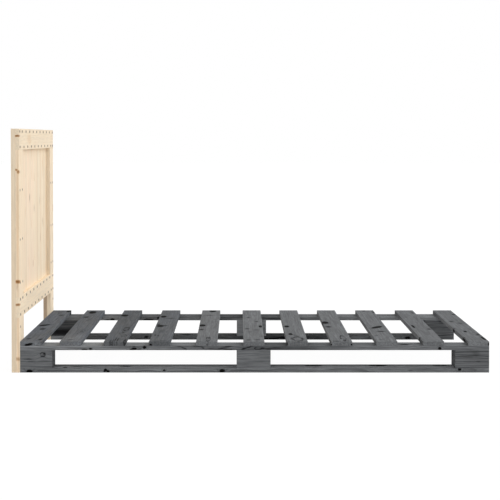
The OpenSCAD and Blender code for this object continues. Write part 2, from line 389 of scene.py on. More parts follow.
# The slats, from head to foot
SLAT_TIMBER = (
    Timber(tone=0.71, tint=1.0, figure=0.8, knots=(
        Knot(0, 0, 120, 60, SAPWOOD, START, 0.8), Knot(432, -12, 64, 30, tilt=42),
        Knot(330, -4, 76, 36, STREAK, share=1.3), Knot(-3, -8, 35, 11, DEAD, START, tilt=10),
        Knot(868, 36, 60, 20), Knot(735, 20, 60, 30, STREAK, share=1.1),
        Knot(52, 33, 60, 20, STREAK, share=1.4), Knot(72, -20, 44, 26, STREAK, share=1.2))),
    Timber(tone=0.66, tint=0.9, figure=0.7, knots=(
        Knot(0, 0, 420, 130, SAPWOOD, share=0.65), Knot(828, -8, 80, 34),
        Knot(674, -20, 64, 32, STREAK, share=1.3), Knot(44, -9, 22, 44, STREAK, share=1.1, tilt=-35),
        Knot(240, 14, 150, 30, SWIRL, share=0.9))),
    Timber(tone=0.58, tint=0.8, figure=0.8, ring_width=8, knots=(
        Knot(0, 0, 120, 60, SAPWOOD, START, 0.35), Knot(325, 20, 130, 30, SWIRL, share=1.4, rings=1),
        Knot(215, 8, 80, 26, SWIRL, share=1.4, rings=1), Knot(154, 25, 76, 28, SWIRL, share=2.0, rings=1),
        Knot(12, -18, 90, 7, STREAK, share=1.3), Knot(20, -9, 100, 6, STREAK, share=1.8),
        Knot(52, 0, 130, 8, STREAK, share=1.8), Knot(46, 10, 120, 9, STREAK, share=1.8),
        Knot(26, 43, 120, 11, STREAK, share=1.8), Knot(730, -27, 54, 38),
        Knot(690, -20, 40, 26, STREAK, share=0.8))),
    Timber(tone=0.66, tint=0.6, knots=(
        Knot(0, 0, 120, 60, HEARTWOOD_AND_SHADE, START, 0.15), Knot(690, -26, 62, 28), Knot(410, -23, 56, 32),
        Knot(446, -34, 74, 18, STREAK, share=1.6), Knot(420, -6, 24, 40, STREAK, share=1.6, tilt=-20),
        Knot(-3.5, -37, 11, 8, DEAD, START), Knot(636, 8, 18, 66, STREAK, share=1.3),
        Knot(15, 8, 12, 74, STREAK, share=1.5), Knot(162, -29, 48, 12, STREAK, share=1.3),
        Knot(150, -14, 44, 12, STREAK, share=1.1), Knot(270, -8, 120, 32, STREAK, share=0.6))),
    Timber(tone=0.92, knots=(
        Knot(872, 8, 66, 34), Knot(737, -4, 24, 62, STREAK, share=1.4), Knot(426, -31, 60, 32),
        Knot(311, -32, 50, 30, STREAK, share=1.5), Knot(62, 6, 130, 22, SWIRL, share=1.5, rings=1),
        Knot(80, 9, 50, 14, STREAK, share=0.9), Knot(-2, 6, 14, 9, STREAK, START, 0.7))),
    Timber(tone=0.98, figure=0.35, knots=(
        Knot(0, 0, 120, 60, HEARTWOOD_AND_SHADE, START, 0.45), Knot(660, -18, 44, 26, STREAK),
        Knot(538, 21, 46, 22, STREAK, share=1.1), Knot(398, 35, 58, 16),
        Knot(330, -26, 50, 28, STREAK, share=1.1), Knot(250, -14, 70, 30, STREAK, share=0.4),
        Knot(299, 15, 60, 28, STREAK, share=0.6), Knot(131, 32, 60, 20, STREAK, share=0.5),
        Knot(35, -23, 46, 24, STREAK), Knot(44, 15, 50, 32, STREAK, share=0.8))),
    Timber(tone=0.92, knots=(
        Knot(0, 0, 120, 60, HEARTWOOD_AND_SHADE, START, 0.45), Knot(397, -29, 50, 22), Knot(188, -21, 48, 18),
        Knot(163, -6, 14, 54, STREAK, share=1.4, tilt=40), Knot(76, 25, 50, 18, STREAK, share=1.1),
        Knot(80, -22, 60, 12, STREAK, share=0.8), Knot(66, 6, 130, 58, SWIRL, share=0.9, rings=1),
        Knot(-1, -44, 5, 17, DEAD, START), Knot(0, 41, 10, 14, STREAK, START, 0.4))),
    Timber(tone=0.95, figure=0.6, ring_width=7, knots=(
        Knot(0, 0, 120, 60, HEARTWOOD_AND_SHADE, START, 0.2), Knot(508, -33, 74, 32),
        Knot(389, -28, 62, 32, STREAK, share=1.4), Knot(86, 14, 160, 28, SWIRL, share=2.0, rings=1),
        # Painted shade: the two small dark knots on the near end, at its corners.
        Knot(12, -22, 20, 46, STREAK, share=1.3), Knot(-4, -45, 7, 8, DEAD, START),
        Knot(-4, 42, 8, 8, DEAD, START))),
    Timber(tone=0.96, figure=0.6, knots=(
        Knot(884, -6, 44, 18), Knot(836, 39, 70, 20, STREAK, share=1.8), Knot(374, 1, 84, 34, tilt=36),
        Knot(262, 6, 32, 50, STREAK, share=1.5), Knot(154, -26, 46, 24, STREAK, share=0.7),
        Knot(46, -20, 44, 26, STREAK, share=0.5))),
    Timber(tone=0.93, figure=0.6, knots=(
        Knot(0, 0, 120, 60, HEARTWOOD_AND_SHADE, START, 0.25), Knot(810, 31, 50, 22, STREAK, share=1.4),
        Knot(396, -28, 84, 13), Knot(677, -24, 40, 20, STREAK, share=0.5),
        Knot(322, 34, 56, 22, STREAK, share=1.6), Knot(45, -43, 24, 6, STREAK, share=0.8),
        Knot(95, -44, 28, 7))),
    Timber(tone=0.94, figure=0.7, ring_width=7, knots=(
        Knot(0, 0, 120, 60, SAPWOOD, START, 0.3), Knot(758, 33, 50, 24, STREAK, share=1.4),
        Knot(540, -18, 54, 28, STREAK, share=1.1), Knot(486, 14, 64, 30, STREAK, share=0.8),
        Knot(258, -8, 38, 15), Knot(190, 24, 90, 26, SWIRL, share=1.5),
        Knot(176, 34, 60, 20, STREAK, share=1.4), Knot(80, 37, 84, 15),
        Knot(-2, 42, 7, 12, DEAD, START), Knot(337, -42, 60, 9, STREAK),
        Knot(96, -43, 56, 9, STREAK, share=1.1), Knot(85, 0, 60, 12, DEAD, LOW_EDGE),
        Knot(330, 0, 44, 13, DEAD, LOW_EDGE))),
)

# Rails, runners and blocks. Right is the side that the camera sees.
BASE_TIMBER = {
    "right_top_rail": Timber(tone=1.14, figure=1.0, ring_width=8, knots=(
        Knot(1120, 0, 480, 150, HEARTWOOD_AND_SHADE, share=1.3), Knot(1600, 0, 800, 150, HEARTWOOD_AND_SHADE, share=0.35),
        Knot(1530, 0, 260, 150, HEARTWOOD_AND_SHADE, UPPER, 0.5), Knot(230, 0, 760, 150, SAPWOOD, UPPER, 0.4),
        Knot(560, 0, 500, 60, HEARTWOOD_AND_SHADE, LOW_EDGE, 0.55), Knot(900, 0, 460, 60, HEARTWOOD_AND_SHADE, LOW_EDGE, 0.7),
        Knot(1230, 0, 460, 60, HEARTWOOD_AND_SHADE, LOW_EDGE, 0.7), Knot(1520, 0, 300, 60, SAPWOOD, LOW_EDGE, 0.2),
        Knot(1900, 0, 400, 60, HEARTWOOD_AND_SHADE, LOW_EDGE, 0.5),
        Knot(276, -7, 30, 7, DEAD, LOW_EDGE), Knot(301, -4, 13, 9, DEAD, LOW_EDGE),
        Knot(482, -5, 32, 12, DEAD, LOW_EDGE, tilt=14), Knot(484, 6, 20, 7, STREAK, LOW_EDGE),
        Knot(508, -5, 28, 8, STREAK, LOW_EDGE), Knot(530, 3, 15, 13, DEAD, LOW_EDGE),
        Knot(840, -9, 780, 5, STREAK, LOW_EDGE, 0.9), Knot(680, 6, 30, 6, STREAK, LOW_EDGE, 0.8),
        Knot(698, -1, 34, 8, STREAK, LOW_EDGE, 1.1, -26), Knot(757, 7, 70, 6, STREAK, LOW_EDGE),
        Knot(782, 1, 18, 9, STREAK, LOW_EDGE, 1.0, -30), Knot(818, -4, 64, 7, STREAK, LOW_EDGE),
        Knot(856, -3, 64, 9, STREAK, LOW_EDGE, 1.3, 8), Knot(884, 6, 66, 7, STREAK, LOW_EDGE, 1.5, 4),
        Knot(887, -8, 44, 8, DEAD, LOW_EDGE), Knot(910, -8, 60, 6, STREAK, LOW_EDGE, 1.4),
        Knot(954, -2, 24, 10, STREAK, LOW_EDGE, 1.8, 24), Knot(974, 3, 44, 7, STREAK, LOW_EDGE, 1.6, 16),
        Knot(1016, -1, 50, 12, SWIRL, LOW_EDGE, 1.5, rings=1), Knot(1036, -1, 36, 9, STREAK, LOW_EDGE, 1.8),
        Knot(1062, -3, 34, 7, STREAK, LOW_EDGE, 1.3), Knot(1091, 0, 60, 6, STREAK, LOW_EDGE, 1.5),
        Knot(1206, -9, 50, 6, STREAK, LOW_EDGE, 1.1), Knot(1789, -2, 13, 15, DEAD, LOW_EDGE),
        Knot(1046, 30, 26, 18, STREAK, UPPER, 1.4), Knot(1642, -14, 44, 22, DEAD, UPPER))),
    # Painted shade: the broad darker patches on the upper face stand for the shade of the slats. Painted
    # light: the paler patches on the inner edge face lighten a face that lies in shade.
    "left_top_rail": Timber(tone=1.04, figure=0.9, ring_width=8, knots=(
        Knot(560, 0, 1000, 150, HEARTWOOD_AND_SHADE, UPPER, 1.1), Knot(1000, 0, 560, 150, HEARTWOOD_AND_SHADE, UPPER, 1.6),
        Knot(120, 0, 260, 150, HEARTWOOD_AND_SHADE, UPPER, 0.5), Knot(180, 0, 480, 60, SAPWOOD, LOW_EDGE, 1.1),
        Knot(1700, 0, 800, 60, SAPWOOD, LOW_EDGE, 0.8), Knot(1930, 0, 280, 150, SAPWOOD, UPPER, 0.6),
        Knot(306, -5, 26, 12, DEAD, LOW_EDGE), Knot(280, -6, 30, 9, STREAK, LOW_EDGE, 1.6),
        Knot(484, -7, 54, 15, DEAD, LOW_EDGE), Knot(535, 3, 14, 9, DEAD, LOW_EDGE),
        Knot(870, -3, 115, 7, STREAK, LOW_EDGE, 1.2), Knot(1104, -1, 160, 8, STREAK, LOW_EDGE, 1.2),
        Knot(1663, 5, 200, 80, HEARTWOOD_AND_SHADE, UPPER, 0.4))),
    "right_bottom_rail": Timber(tone=1.07, figure=1.2, ring_width=9, knots=(
        # Painted light: a paler band along the whole upper face, nearest its front edge, where light comes in
        # under the top rail.
        Knot(1000, -9, 6000, 64, SAPWOOD, UPPER, 2.0),
        Knot(70, 0, 240, 60, HEARTWOOD_AND_SHADE, LOW_EDGE, 0.5), Knot(1910, 0, 240, 60, HEARTWOOD_AND_SHADE, LOW_EDGE, 0.4),
        Knot(310, 0, 240, 60, SAPWOOD, LOW_EDGE, 0.5), Knot(1300, 0, 300, 60, SAPWOOD, LOW_EDGE, 0.25),
        Knot(40, -3, 28, 14, DEAD, LOW_EDGE), Knot(363, 1, 15, 15, DEAD, LOW_EDGE),
        Knot(375, -3, 13, 12, DEAD, LOW_EDGE), Knot(614, 1, 12, 7, DEAD, LOW_EDGE),
        Knot(861, -1, 24, 15, DEAD, LOW_EDGE), Knot(1661, 0, 30, 6, STREAK, LOW_EDGE, 0.8),
        Knot(1874, 5, 14, 12, DEAD, LOW_EDGE), Knot(188, -21, 20, 14, DEAD, UPPER),
        Knot(300, -1, 500, 4, STREAK, LOW_EDGE, 0.8), Knot(1500, -7, 700, 4, STREAK, LOW_EDGE, 0.4),
        Knot(236, -2, 60, 16, STREAK, UPPER, 1.3), Knot(444, 2, 48, 18, DEAD, UPPER),
        Knot(1252, 20, 76, 24, DEAD, UPPER), Knot(1532, 22, 84, 34, DEAD, UPPER),
        Knot(1800, 22, 66, 20, DEAD, UPPER), Knot(1260, -17, 22, 14, STREAK, UPPER, 1.2))),
    "left_bottom_rail": Timber(tone=0.86, figure=0.9, ring_width=8, knots=(
        # Darker in the middle of its length. Painted light: the paler patch on the inner face at the head
        # end, where the floor throws light back. Painted shade: the long thin streak low on the inner face,
        # along the floor.
        Knot(1150, 0, 800, 150, HEARTWOOD_AND_SHADE, share=2.0), Knot(1170, 0, 380, 60, HEARTWOOD_AND_SHADE, LOW_EDGE, 0.8),
        Knot(30, 0, 200, 60, SAPWOOD, LOW_EDGE, 2.0), Knot(1000, -8, 2400, 5, STREAK, LOW_EDGE, 0.3),
        Knot(473, 5, 20, 9, DEAD, LOW_EDGE), Knot(671, 3, 46, 26, DEAD, UPPER),
        Knot(800, 4, 160, 8, STREAK, LOW_EDGE, 1.4), Knot(1190, 2, 150, 9, DEAD, LOW_EDGE),
        Knot(1090, -5, 90, 8, DEAD, LOW_EDGE), Knot(1771, 0, 26, 13, DEAD, LOW_EDGE))),
    "right_head_block": Timber(tone=0.86, figure=1.0, ring_width=10, knots=(
        Knot(96, 20, 28, 23, LIVE, LOW_EDGE, 0.9), Knot(106, 24, 12, 13, STREAK, LOW_EDGE, 1.8),
        Knot(97, 13, 22, 8, STREAK, LOW_EDGE, 1.1), Knot(34, 1, 60, 8, STREAK, LOW_EDGE),
        Knot(48, -8, 40, 7, STREAK, LOW_EDGE, 0.7))),
    "right_middle_block": Timber(tone=0.93, figure=0.7, ring_width=11),
    "right_foot_block": Timber(tone=0.80, figure=2.2, ring_width=9, knots=(
        Knot(88, 22, 40, 24, STREAK, LOW_EDGE, 0.45), Knot(96, -10, 34, 8, STREAK, LOW_EDGE, 0.7))),
    # Painted shade: the block is darkened all over, and most on the lower half of its inner face, where the
    # slats and the headboard shade it.
    "left_head_block": Timber(tone=0.56, figure=0.8, ring_width=11, knots=(
        Knot(110, -20, 110, 60, HEARTWOOD_AND_SHADE, LOW_EDGE), Knot(50, -19, 260, 44, STREAK, LOW_EDGE, 1.4))),
    "left_middle_block": Timber(tone=1.4, figure=0.6, ring_width=12),
    "left_foot_block": Timber(tone=0.80, figure=1.8, ring_width=11),
}

# The frame of the headboard
HEADBOARD_TIMBER = {
    "headboard_top_rail": Timber(tone=0.965, screw_creep=1.7, knots=(
        Knot(0, 14, 9, 26, SPIKE, START, 1.1), Knot(236, 0, 120, 60, HEARTWOOD_AND_SHADE, UPPER, 0.6))),
    "headboard_bottom_rail": Timber(tone=1.03, figure=0.6, screw_creep=1.7, knots=(
        Knot(0, 11, 11, 26, SPIKE, START), Knot(450, 0, 1600, 60, HEARTWOOD_AND_SHADE, HIGH_EDGE, 0.1))),
    "headboard_right_stile": Timber(tone=1.03, tint=0.2, knots=(
        # Painted shade: the thin dark streak at the back of the near edge, in the joint with the post behind.
        Knot(313, 1, 900, 14, HEARTWOOD_AND_SHADE, LOW_EDGE, 0.9), Knot(313, -8, 1400, 4, STREAK, LOW_EDGE, 0.35),
        Knot(313, 0, 1400, 150, HEARTWOOD_AND_SHADE, UPPER, 0.14),
        Knot(64, 0, 15, 26, SPIKE, LOW_EDGE, 1.2), Knot(44, -3, 44, 8, STREAK, LOW_EDGE, 0.4),
        Knot(541, -4, 10, 11, SPIKE, LOW_EDGE, 0.9), Knot(532, 4, 14, 11, SPIKE, LOW_EDGE))),
    "headboard_left_stile": Timber(tone=0.97, knots=(
        Knot(313, 0, 1400, 60, SAPWOOD, LOW_EDGE, 1.5),
        Knot(325, 32, 40, 18, LIVE, share=0.5), Knot(180, 20, 60, 8, STREAK, share=0.5))),
    "headboard_right_leg": Timber(tone=1.02, tint=0.2, knots=(
        # Painted shade: the thin dark streak at the back of the near edge, in the joint with the post behind.
        Knot(117, 1, 500, 14, HEARTWOOD_AND_SHADE, LOW_EDGE, 0.8), Knot(117, -8, 600, 4, STREAK, LOW_EDGE, 0.35),
        Knot(58, 0, 16, 26, SPIKE, LOW_EDGE, 0.5))),
    "headboard_left_leg": Timber(tone=1.05),
    "headboard_right_post": Timber(tone=0.89, figure=0.6, knots=(
        Knot(300, 0, 1200, 60, HEARTWOOD_AND_SHADE, LOW_EDGE, 0.2),)),
    "headboard_left_post": Timber(knots=(Knot(117, 0, 600, 60, STREAK, LOW_EDGE, 0.8),)),
}

# The boards inside the frame, from right to left
PANEL_TIMBER = (
    Timber(tone=0.96, tint=0.2, figure=0.9, knots=(
        Knot(358, -30, 1400, 14, HEARTWOOD_AND_SHADE, share=0.6), Knot(300, 14, 1000, 10, STREAK, share=0.10))),
    Timber(tone=1.03, tint=0.6, figure=1.0, knots=(
        Knot(420, 36, 1000, 14, STREAK, share=0.14), Knot(200, -8, 800, 10, STREAK, share=0.08))),
    Timber(tone=1.05, tint=0.7, figure=0.8, knots=(
        Knot(496, 27, 46, 20, STREAK, share=0.8), Knot(358, -40, 1400, 10, SAPWOOD, share=0.8))),
    Timber(tone=1.05, tint=0.6, figure=0.8, knots=(
        Knot(188, 22, 40, 20, LIVE, share=0.4), Knot(358, -36, 1400, 12, STREAK, share=0.16))),
    Timber(tone=1.04, tint=0.2, figure=0.9, knots=(
        Knot(444, -38, 46, 20, STREAK, share=0.6), Knot(330, 10, 900, 12, STREAK, share=0.12),
        Knot(358, 36, 1400, 16, HEARTWOOD_AND_SHADE, share=0.7))),
    Timber(figure=1.2, knots=(
        Knot(471, 24, 60, 16, STREAK, share=0.5), Knot(290, 38, 60, 16, STREAK, share=0.5),
        Knot(358, -38, 1400, 16, STREAK, share=0.22), Knot(358, 4, 1400, 14, SAPWOOD, share=0.8))),
    Timber(tone=1.02, figure=1.3, knots=(
        Knot(360, 10, 60, 16, STREAK, share=0.4), Knot(358, -36, 1400, 16, HEARTWOOD_AND_SHADE, share=0.8),
        Knot(358, 34, 1400, 14, STREAK, share=0.2), Knot(358, 0, 1400, 12, SAPWOOD, share=0.6))),
    Timber(figure=1.1, knots=(
        Knot(358, -34, 1400, 16, STREAK, share=0.2), Knot(358, 20, 1400, 40, HEARTWOOD_AND_SHADE, share=0.8))),
)


# Pine finishes


@dataclass(frozen=True)
class PineFinish:
    """Planed pine with one surface treatment.

    Growth rings, knots and fibres come from the board's own length, width and thickness in
    millimetres, so they run on round its edges and show on its sawn ends.
    """

    name: str
    slot: str
    face: str
    tinted_face: str
    late_wood: str
    heartwood: str
    sapwood: str
    dead_knot: str
    knot_rim: str
    live_knot: str
    screw_stain_and_shade: float
    end_shade: float
    ring_contrast: float
    streak_contrast: float
    fibre_contrast: float
    blotch_contrast: float
    arris_wear_and_highlight: float
    roughness: tuple[float, float]
    specular: float

    def coats(self, kind: KnotKind) -> tuple[tuple[float, float, float, str], ...]:
        """List the soft coats of colour that make up a knot, from the outside in.

        Args:
            kind: The kind of knot.

        Returns:
            For each coat, where it starts and where it is full, in knot radii, its share and its colour.
        """
        return {
            KnotKind.DEAD: ((1.8, 0.9, 0.3, self.knot_rim), (1.08, 0.86, 1.0, self.dead_knot)),
            KnotKind.LIVE: ((1.0, 0.6, 0.7, self.live_knot),),
            KnotKind.SPIKE: ((1.5, 0.7, 0.85, self.live_knot), (0.9, 0.2, 0.7, self.knot_rim)),
            KnotKind.SWIRL: ((1.1, 0.2, 0.12, self.late_wood),),
            KnotKind.STREAK: ((1.25, 0.2, 0.7, self.knot_rim),),
            KnotKind.HEARTWOOD_AND_SHADE: ((1.2, 0.3, 0.5, self.heartwood),),
            KnotKind.SAPWOOD: ((1.2, 0.3, 0.5, self.sapwood),),
        }[kind]


# Softwood with a matt, see-through grey stain: the stain soaks into soft early wood, sawn ends and
# knots, which turn nearly black, while the planed face stays a mid grey with long faint streaks.
GREY_STAINED_PINE = PineFinish(
    name="grey_stained_pine", slot="grey_pine",
    face="#727476", tinted_face="#6f747b", late_wood="#3c3d3f", heartwood="#232426", sapwood="#97999b",
    dead_knot="#050505", knot_rim="#18181a", live_knot="#5a5b5d", screw_stain_and_shade=0.0,
    end_shade=1.04, ring_contrast=0.62, streak_contrast=0.95, fibre_contrast=1.4, blotch_contrast=0.4,
    arris_wear_and_highlight=0.14, roughness=(0.72, 0.86), specular=0.10,
)

# Planed pine without stain or lacquer: pale straw face, honey late wood, brown knots and slightly
# darker sawn ends. It stays matt, because nothing fills the pores. Round each black screw the
# pressed fibres have taken a brown stain, and the same dark ring is also painted shade of the countersink.
NATURAL_PINE = PineFinish(
    name="natural_pine", slot="natural_pine",
    face="#f8e6cb", tinted_face="#f4dcc4", late_wood="#dcb684", heartwood="#d8ae7c", sapwood="#fdf1de",
    dead_knot="#4a2a16", knot_rim="#7a4e2c", live_knot="#c2935f", screw_stain_and_shade=0.85,
    end_shade=0.94, ring_contrast=0.42, streak_contrast=0.26, fibre_contrast=0.30, blotch_contrast=0.08,
    arris_wear_and_highlight=0.02, roughness=(0.62, 0.74), specular=0.20,
)


# Profile of the dish that a dead knot leaves, from above the face down: knot radii, dish depths
DISH = [(0, 1), (0.9, 1), (0.9, 0), (0.72, -0.6), (0.4, -0.9), (0, -1)]
DISH_SIDES = 20
# Waves that make its rim uneven: how many go round, and how high each is in knot radii
DISH_WAVES = ((2, 0.10), (3, 0.07), (5, 0.05))


@dataclass
class Board:
    """One piece of timber in its place, eased, drilled and with its knots, sizes in millimetres.

    Knots and broad patches on an edge or a sawn end go into the board by their own reach. A dead
    knot leaves a dish of the hollow depth.
    """

    node: str
    grain: Grain
    timber: Timber
    finish: PineFinish
    edge_radius: float = 1.2
    hollow_depth: float = 0.7
    knot_reach: float = 20.0
    patch_reach: float = 8.0
    low: Vector = field(init=False)
    high: Vector = field(init=False)
    screws: list[Vector] = field(init=False, default_factory=list)

    def __post_init__(self) -> None:
        """Read the board's box from the frame."""
        low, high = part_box(self.node)
        self.low = low / MM
        self.high = high / MM

    @property
    def size(self) -> tuple[float, float, float]:
        """Length, width and thickness."""
        return tuple(self.high[axis] - self.low[axis] for axis in self.grain.value)

    def place(self, knot: Knot) -> KnotPlace:
        """Find where a knot lies.

        Args:
            knot: The knot.

        Returns:
            Its place from the start of the board's length and the middle of its width and thickness.
        """
        _, width, thickness = self.size
        broad = knot.kind in (KnotKind.HEARTWOOD_AND_SHADE, KnotKind.SAPWOOD)
        reach = self.patch_reach if broad else self.knot_reach
        along = knot.length / 2
        across = knot.width / 2
        tilt = math.radians(knot.tilt)
        if knot.where is Where.START:
            middle = Vector((0, knot.across, knot.along))
            return KnotPlace(middle, Vector((reach, along, across)), Vector((tilt, 0, 0)), Vector((-1, 0, 0)))
        if knot.where in (Where.LOW_EDGE, Where.HIGH_EDGE):
            side = -1 if knot.where is Where.LOW_EDGE else 1
            middle = Vector((knot.along, side * width / 2, knot.across))
            halves = Vector((along, reach, across))
            return KnotPlace(middle, halves, Vector((0, -tilt, 0)), Vector((0, side, 0)))
        if knot.where is Where.UPPER:
            height = thickness / 2
            deep = thickness / 2
        else:
            # A knot that goes through is so deep that it has its full size on both wide faces.
            height = 0
            deep = 4 * max(width, thickness)
        middle = Vector((knot.along, knot.across, height))
        return KnotPlace(middle, Vector((along, across, deep)), Vector((0, 0, tilt)), Vector((0, 0, 1)))

    def world(self, local: Vector) -> Vector:
        """Turn a direction or length in the board's own axes into the frame's axes."""
        turned_vector = Vector((0, 0, 0))
        for value, axis in zip(local, self.grain.value):
            turned_vector[axis] = value
        return turned_vector

    def origin(self) -> Vector:
        """Return the start of the board's length, in the middle of its width and thickness."""
        length_axis = self.grain.value[0]
        start = (self.low + self.high) / 2
        start[length_axis] = self.low[length_axis]
        return start

    def hollow(self, knot: Knot) -> Shape:
        """Make the shallow, uneven dish that a dead knot leaves in the planed face.

        Args:
            knot: The knot.

        Returns:
            The dish on each face where the knot comes out, as a shape to cut with.
        """
        place = self.place(knot)
        draw = random.Random(f"{self.node} {knot.along} {knot.across}")
        phases = [draw.uniform(0, 2 * math.pi) for _ in DISH_WAVES]
        first, second = [axis for axis in range(3) if place.normal[axis] == 0]
        dish = turned(DISH, DISH_SIDES)
        turn = Euler(place.slant).to_matrix()
        shapes = []
        _, _, thickness = self.size
        outward = [place.normal, -place.normal] if knot.where is Where.THROUGH else [place.normal]
        for face in outward:
            centre = place.middle.copy()
            if knot.where is Where.THROUGH:
                centre.z = face.z * thickness / 2
            points = []
            for point in dish.points:
                angle = math.atan2(point.y, point.x)
                waves = zip(DISH_WAVES, phases)
                uneven = sum((high * math.sin(count * angle + phase) for (count, high), phase in waves), 1)
                across = Vector((0, 0, 0))
                across[first] = point.x * uneven * place.halves[first]
                across[second] = point.y * uneven * place.halves[second]
                local = centre + face * point.z * self.hollow_depth + turn @ across
                points.append(self.origin() + self.world(local))
            shapes.append(Shape(points, dish.faces))
        return gathered(shapes)

    def build(self, holes: list["DrilledHole"]) -> Object:
        """Make the board, drill it for the screws that reach it, and finish it.

        Args:
            holes: Every screw hole of the bed.

        Returns:
            The finished board.
        """
        shape = eased_box(self.low, self.high, self.edge_radius, 3)
        drilled = [hole for hole in holes if hole.reaches(self.low, self.high)]
        if drilled:
            shape = carved(shape, gathered([hole.shape for hole in drilled]))
        if self.finish.screw_stain_and_shade:
            heads = [hole.head - self.origin() for hole in drilled if hole.enters(self.low, self.high)]
            self.screws = [Vector([head[axis] for axis in self.grain.value]) for head in heads]
        for knot in self.timber.knots:
            if knot.kind is KnotKind.DEAD:
                shape = carved(shape, self.hollow(knot))
        material = PineGraph(self).finished()
        return fit_piece(f"{self.node}_timber", shape, self.node, material)


class PineGraph:
    """The shader of one board, worked out in its own millimetres."""

    # Real fibres are 0.03 mm wide. They are drawn as bundles of 6 mm, the finest that shows.
    FIBRE = Vector((1 / 80, 1 / 6, 1 / 6))
    # Streaks in the stain or the sap follow the grain, 7 mm wide and a third of a metre long.
    STREAKS = Vector((1 / 330, 1 / 7, 1 / 7))
    # Patches as large as a hand that took more or less stain
    BLOTCHES = Vector((1 / 200, 1 / 60, 1 / 60))
    # The trunk's own bends, which the growth rings follow, and how far they go
    WANDER = Vector((1 / 600, 1 / 160, 1 / 160))
    WANDER_REACH = 34.0
    # Breaks in the dark lines about a knot
    BREAKS = Vector((1 / 40, 1 / 14, 1 / 14))
    # Shakes: the size of their cells, and how far they reach along, across and through the board
    UNEVEN = (12, (7, 5, 4))
    WAVY = (45, (20, 8, 2))
    CURLY = (24, (40, 16, 4))
    # Where the stain and painted shade round a screw head start and where they are full, from the head's
    # middle
    SCREW_STAIN_AND_SHADE = (8.0, 3.5)

    def __init__(self, board: Board) -> None:
        """Start an empty tree for a board."""
        self.board = board
        self.finish = board.finish
        self.timber = board.timber
        self.draw = random.Random(board.node)
        self.material = bpy.data.materials.new(f"{board.finish.name}_{board.node}")
        self.material.use_nodes = True
        self.tree = self.material.node_tree
        self.tree.nodes.clear()

    def in_board_space(self) -> NodeSocket:
        """Turn the surface point into millimetres along, across and through the board."""
        coordinates = add_node(self.tree, "TexCoord")
        split = add_node(self.tree, "SeparateXYZ", links={0: coordinates.outputs["Object"]})
        order = {i: split.outputs[axis] for i, axis in enumerate(self.board.grain.value)}
        turned_point = add_node(self.tree, "CombineXYZ", links=order)
        origin = self.board.origin()
        start = [-origin[axis] for axis in self.board.grain.value]
        scaled = add_node(self.tree, "Mapping", {"Location": start, "Scale": (1 / MM,) * 3},
                          {"Vector": turned_point.outputs[0]})
        return scaled.outputs[0]

    def noise(self, point: NodeSocket, scale: Vector, detail: float) -> NodeSocket:
        """Lay noise over the board at a size of its own along, across and through it.

        Args:
            point: The point in millimetres.
            scale: Noise cells to the millimetre in the three directions.
            detail: Number of finer layers.

        Returns:
            The noise, about 0.5 on average.
        """
        stretched = add_node(self.tree, "VectorMath", {"operation": "MULTIPLY", 1: scale}, {0: point})
        cloud = add_node(self.tree, "TexNoise", {"Scale": 1.0, "Detail": detail, "Roughness": 0.6},
                         {"Vector": stretched.outputs[0]})
        return cloud.outputs[0]

    def shaken(self, point: NodeSocket, stock: NodeSocket, cell: float,
               reach: tuple[float, float, float]) -> NodeSocket:
        """Shift a point by a noise, so that what is drawn there loses its plain form.

        Args:
            point: The point in millimetres.
            stock: The point in the log's own noise.
            cell: Size of the noise.
            reach: How far the shift goes in the three directions, at the most.

        Returns:
            The shifted point.
        """
        cloud = add_node(self.tree, "TexNoise", {"Scale": 1 / cell, "Detail": 2.0}, {"Vector": stock})
        half = [length / 2 for length in reach]
        centred = add_node(self.tree, "VectorMath", {"operation": "SUBTRACT", 1: half}, {0: point})
        return add_node(self.tree, "VectorMath", {"operation": "MULTIPLY_ADD", 1: reach},
                        {0: cloud.outputs["Color"], 2: centred.outputs[0]}).outputs[0]

    def far_from(self, knot: Knot, point: NodeSocket) -> NodeSocket:
        """Measure how far a point is from a knot's middle, in knot radii.

        Args:
            knot: The knot.
            point: The point in millimetres.

        Returns:
            The distance.
        """
        place = self.board.place(knot)
        settings = {"vector_type": "TEXTURE", "Location": place.middle, "Rotation": place.slant,
                    "Scale": place.halves}
        inside = add_node(self.tree, "Mapping", settings, {"Vector": point}).outputs[0]
        return add_node(self.tree, "VectorMath", {"operation": "LENGTH"}, {0: inside}).outputs["Value"]

    def nearest(self, distances: list[NodeSocket]) -> NodeSocket | None:
        """Keep the smallest of some distances, or nothing where there are none."""
        smallest = None
        for far in distances:
            if smallest is not None:
                far = add_node(self.tree, "Math", {"operation": "MINIMUM"}, {0: far, 1: smallest}).outputs[0]
            smallest = far
        return smallest

    def band(self, value: NodeSocket, start: float, end: float, low: float = 0.0,
             high: float = 1.0) -> NodeSocket:
        """Turn a value smoothly from one level to another.

        Args:
            value: The value.
            start: Where the change starts.
            end: Where it ends.
            low: The level at the start.
            high: The level at the end.

        Returns:
            The level.
        """
        levels = {"interpolation_type": "SMOOTHSTEP", 1: start, 2: end, 3: low, 4: high}
        return add_node(self.tree, "MapRange", levels, {0: value}).outputs[0]

    def times_plus(self, value: NodeSocket, factor: float, plus: NodeSocket | float) -> NodeSocket:
        """Multiply a value and add to it.

        Args:
            value: The value.
            factor: What it is multiplied by.
            plus: What is added.

        Returns:
            The sum.
        """
        settings = {"operation": "MULTIPLY_ADD", 1: factor}
        links = {0: value}
        if isinstance(plus, float):
            settings[2] = plus
        else:
            links[2] = plus
        return add_node(self.tree, "Math", settings, links).outputs[0]

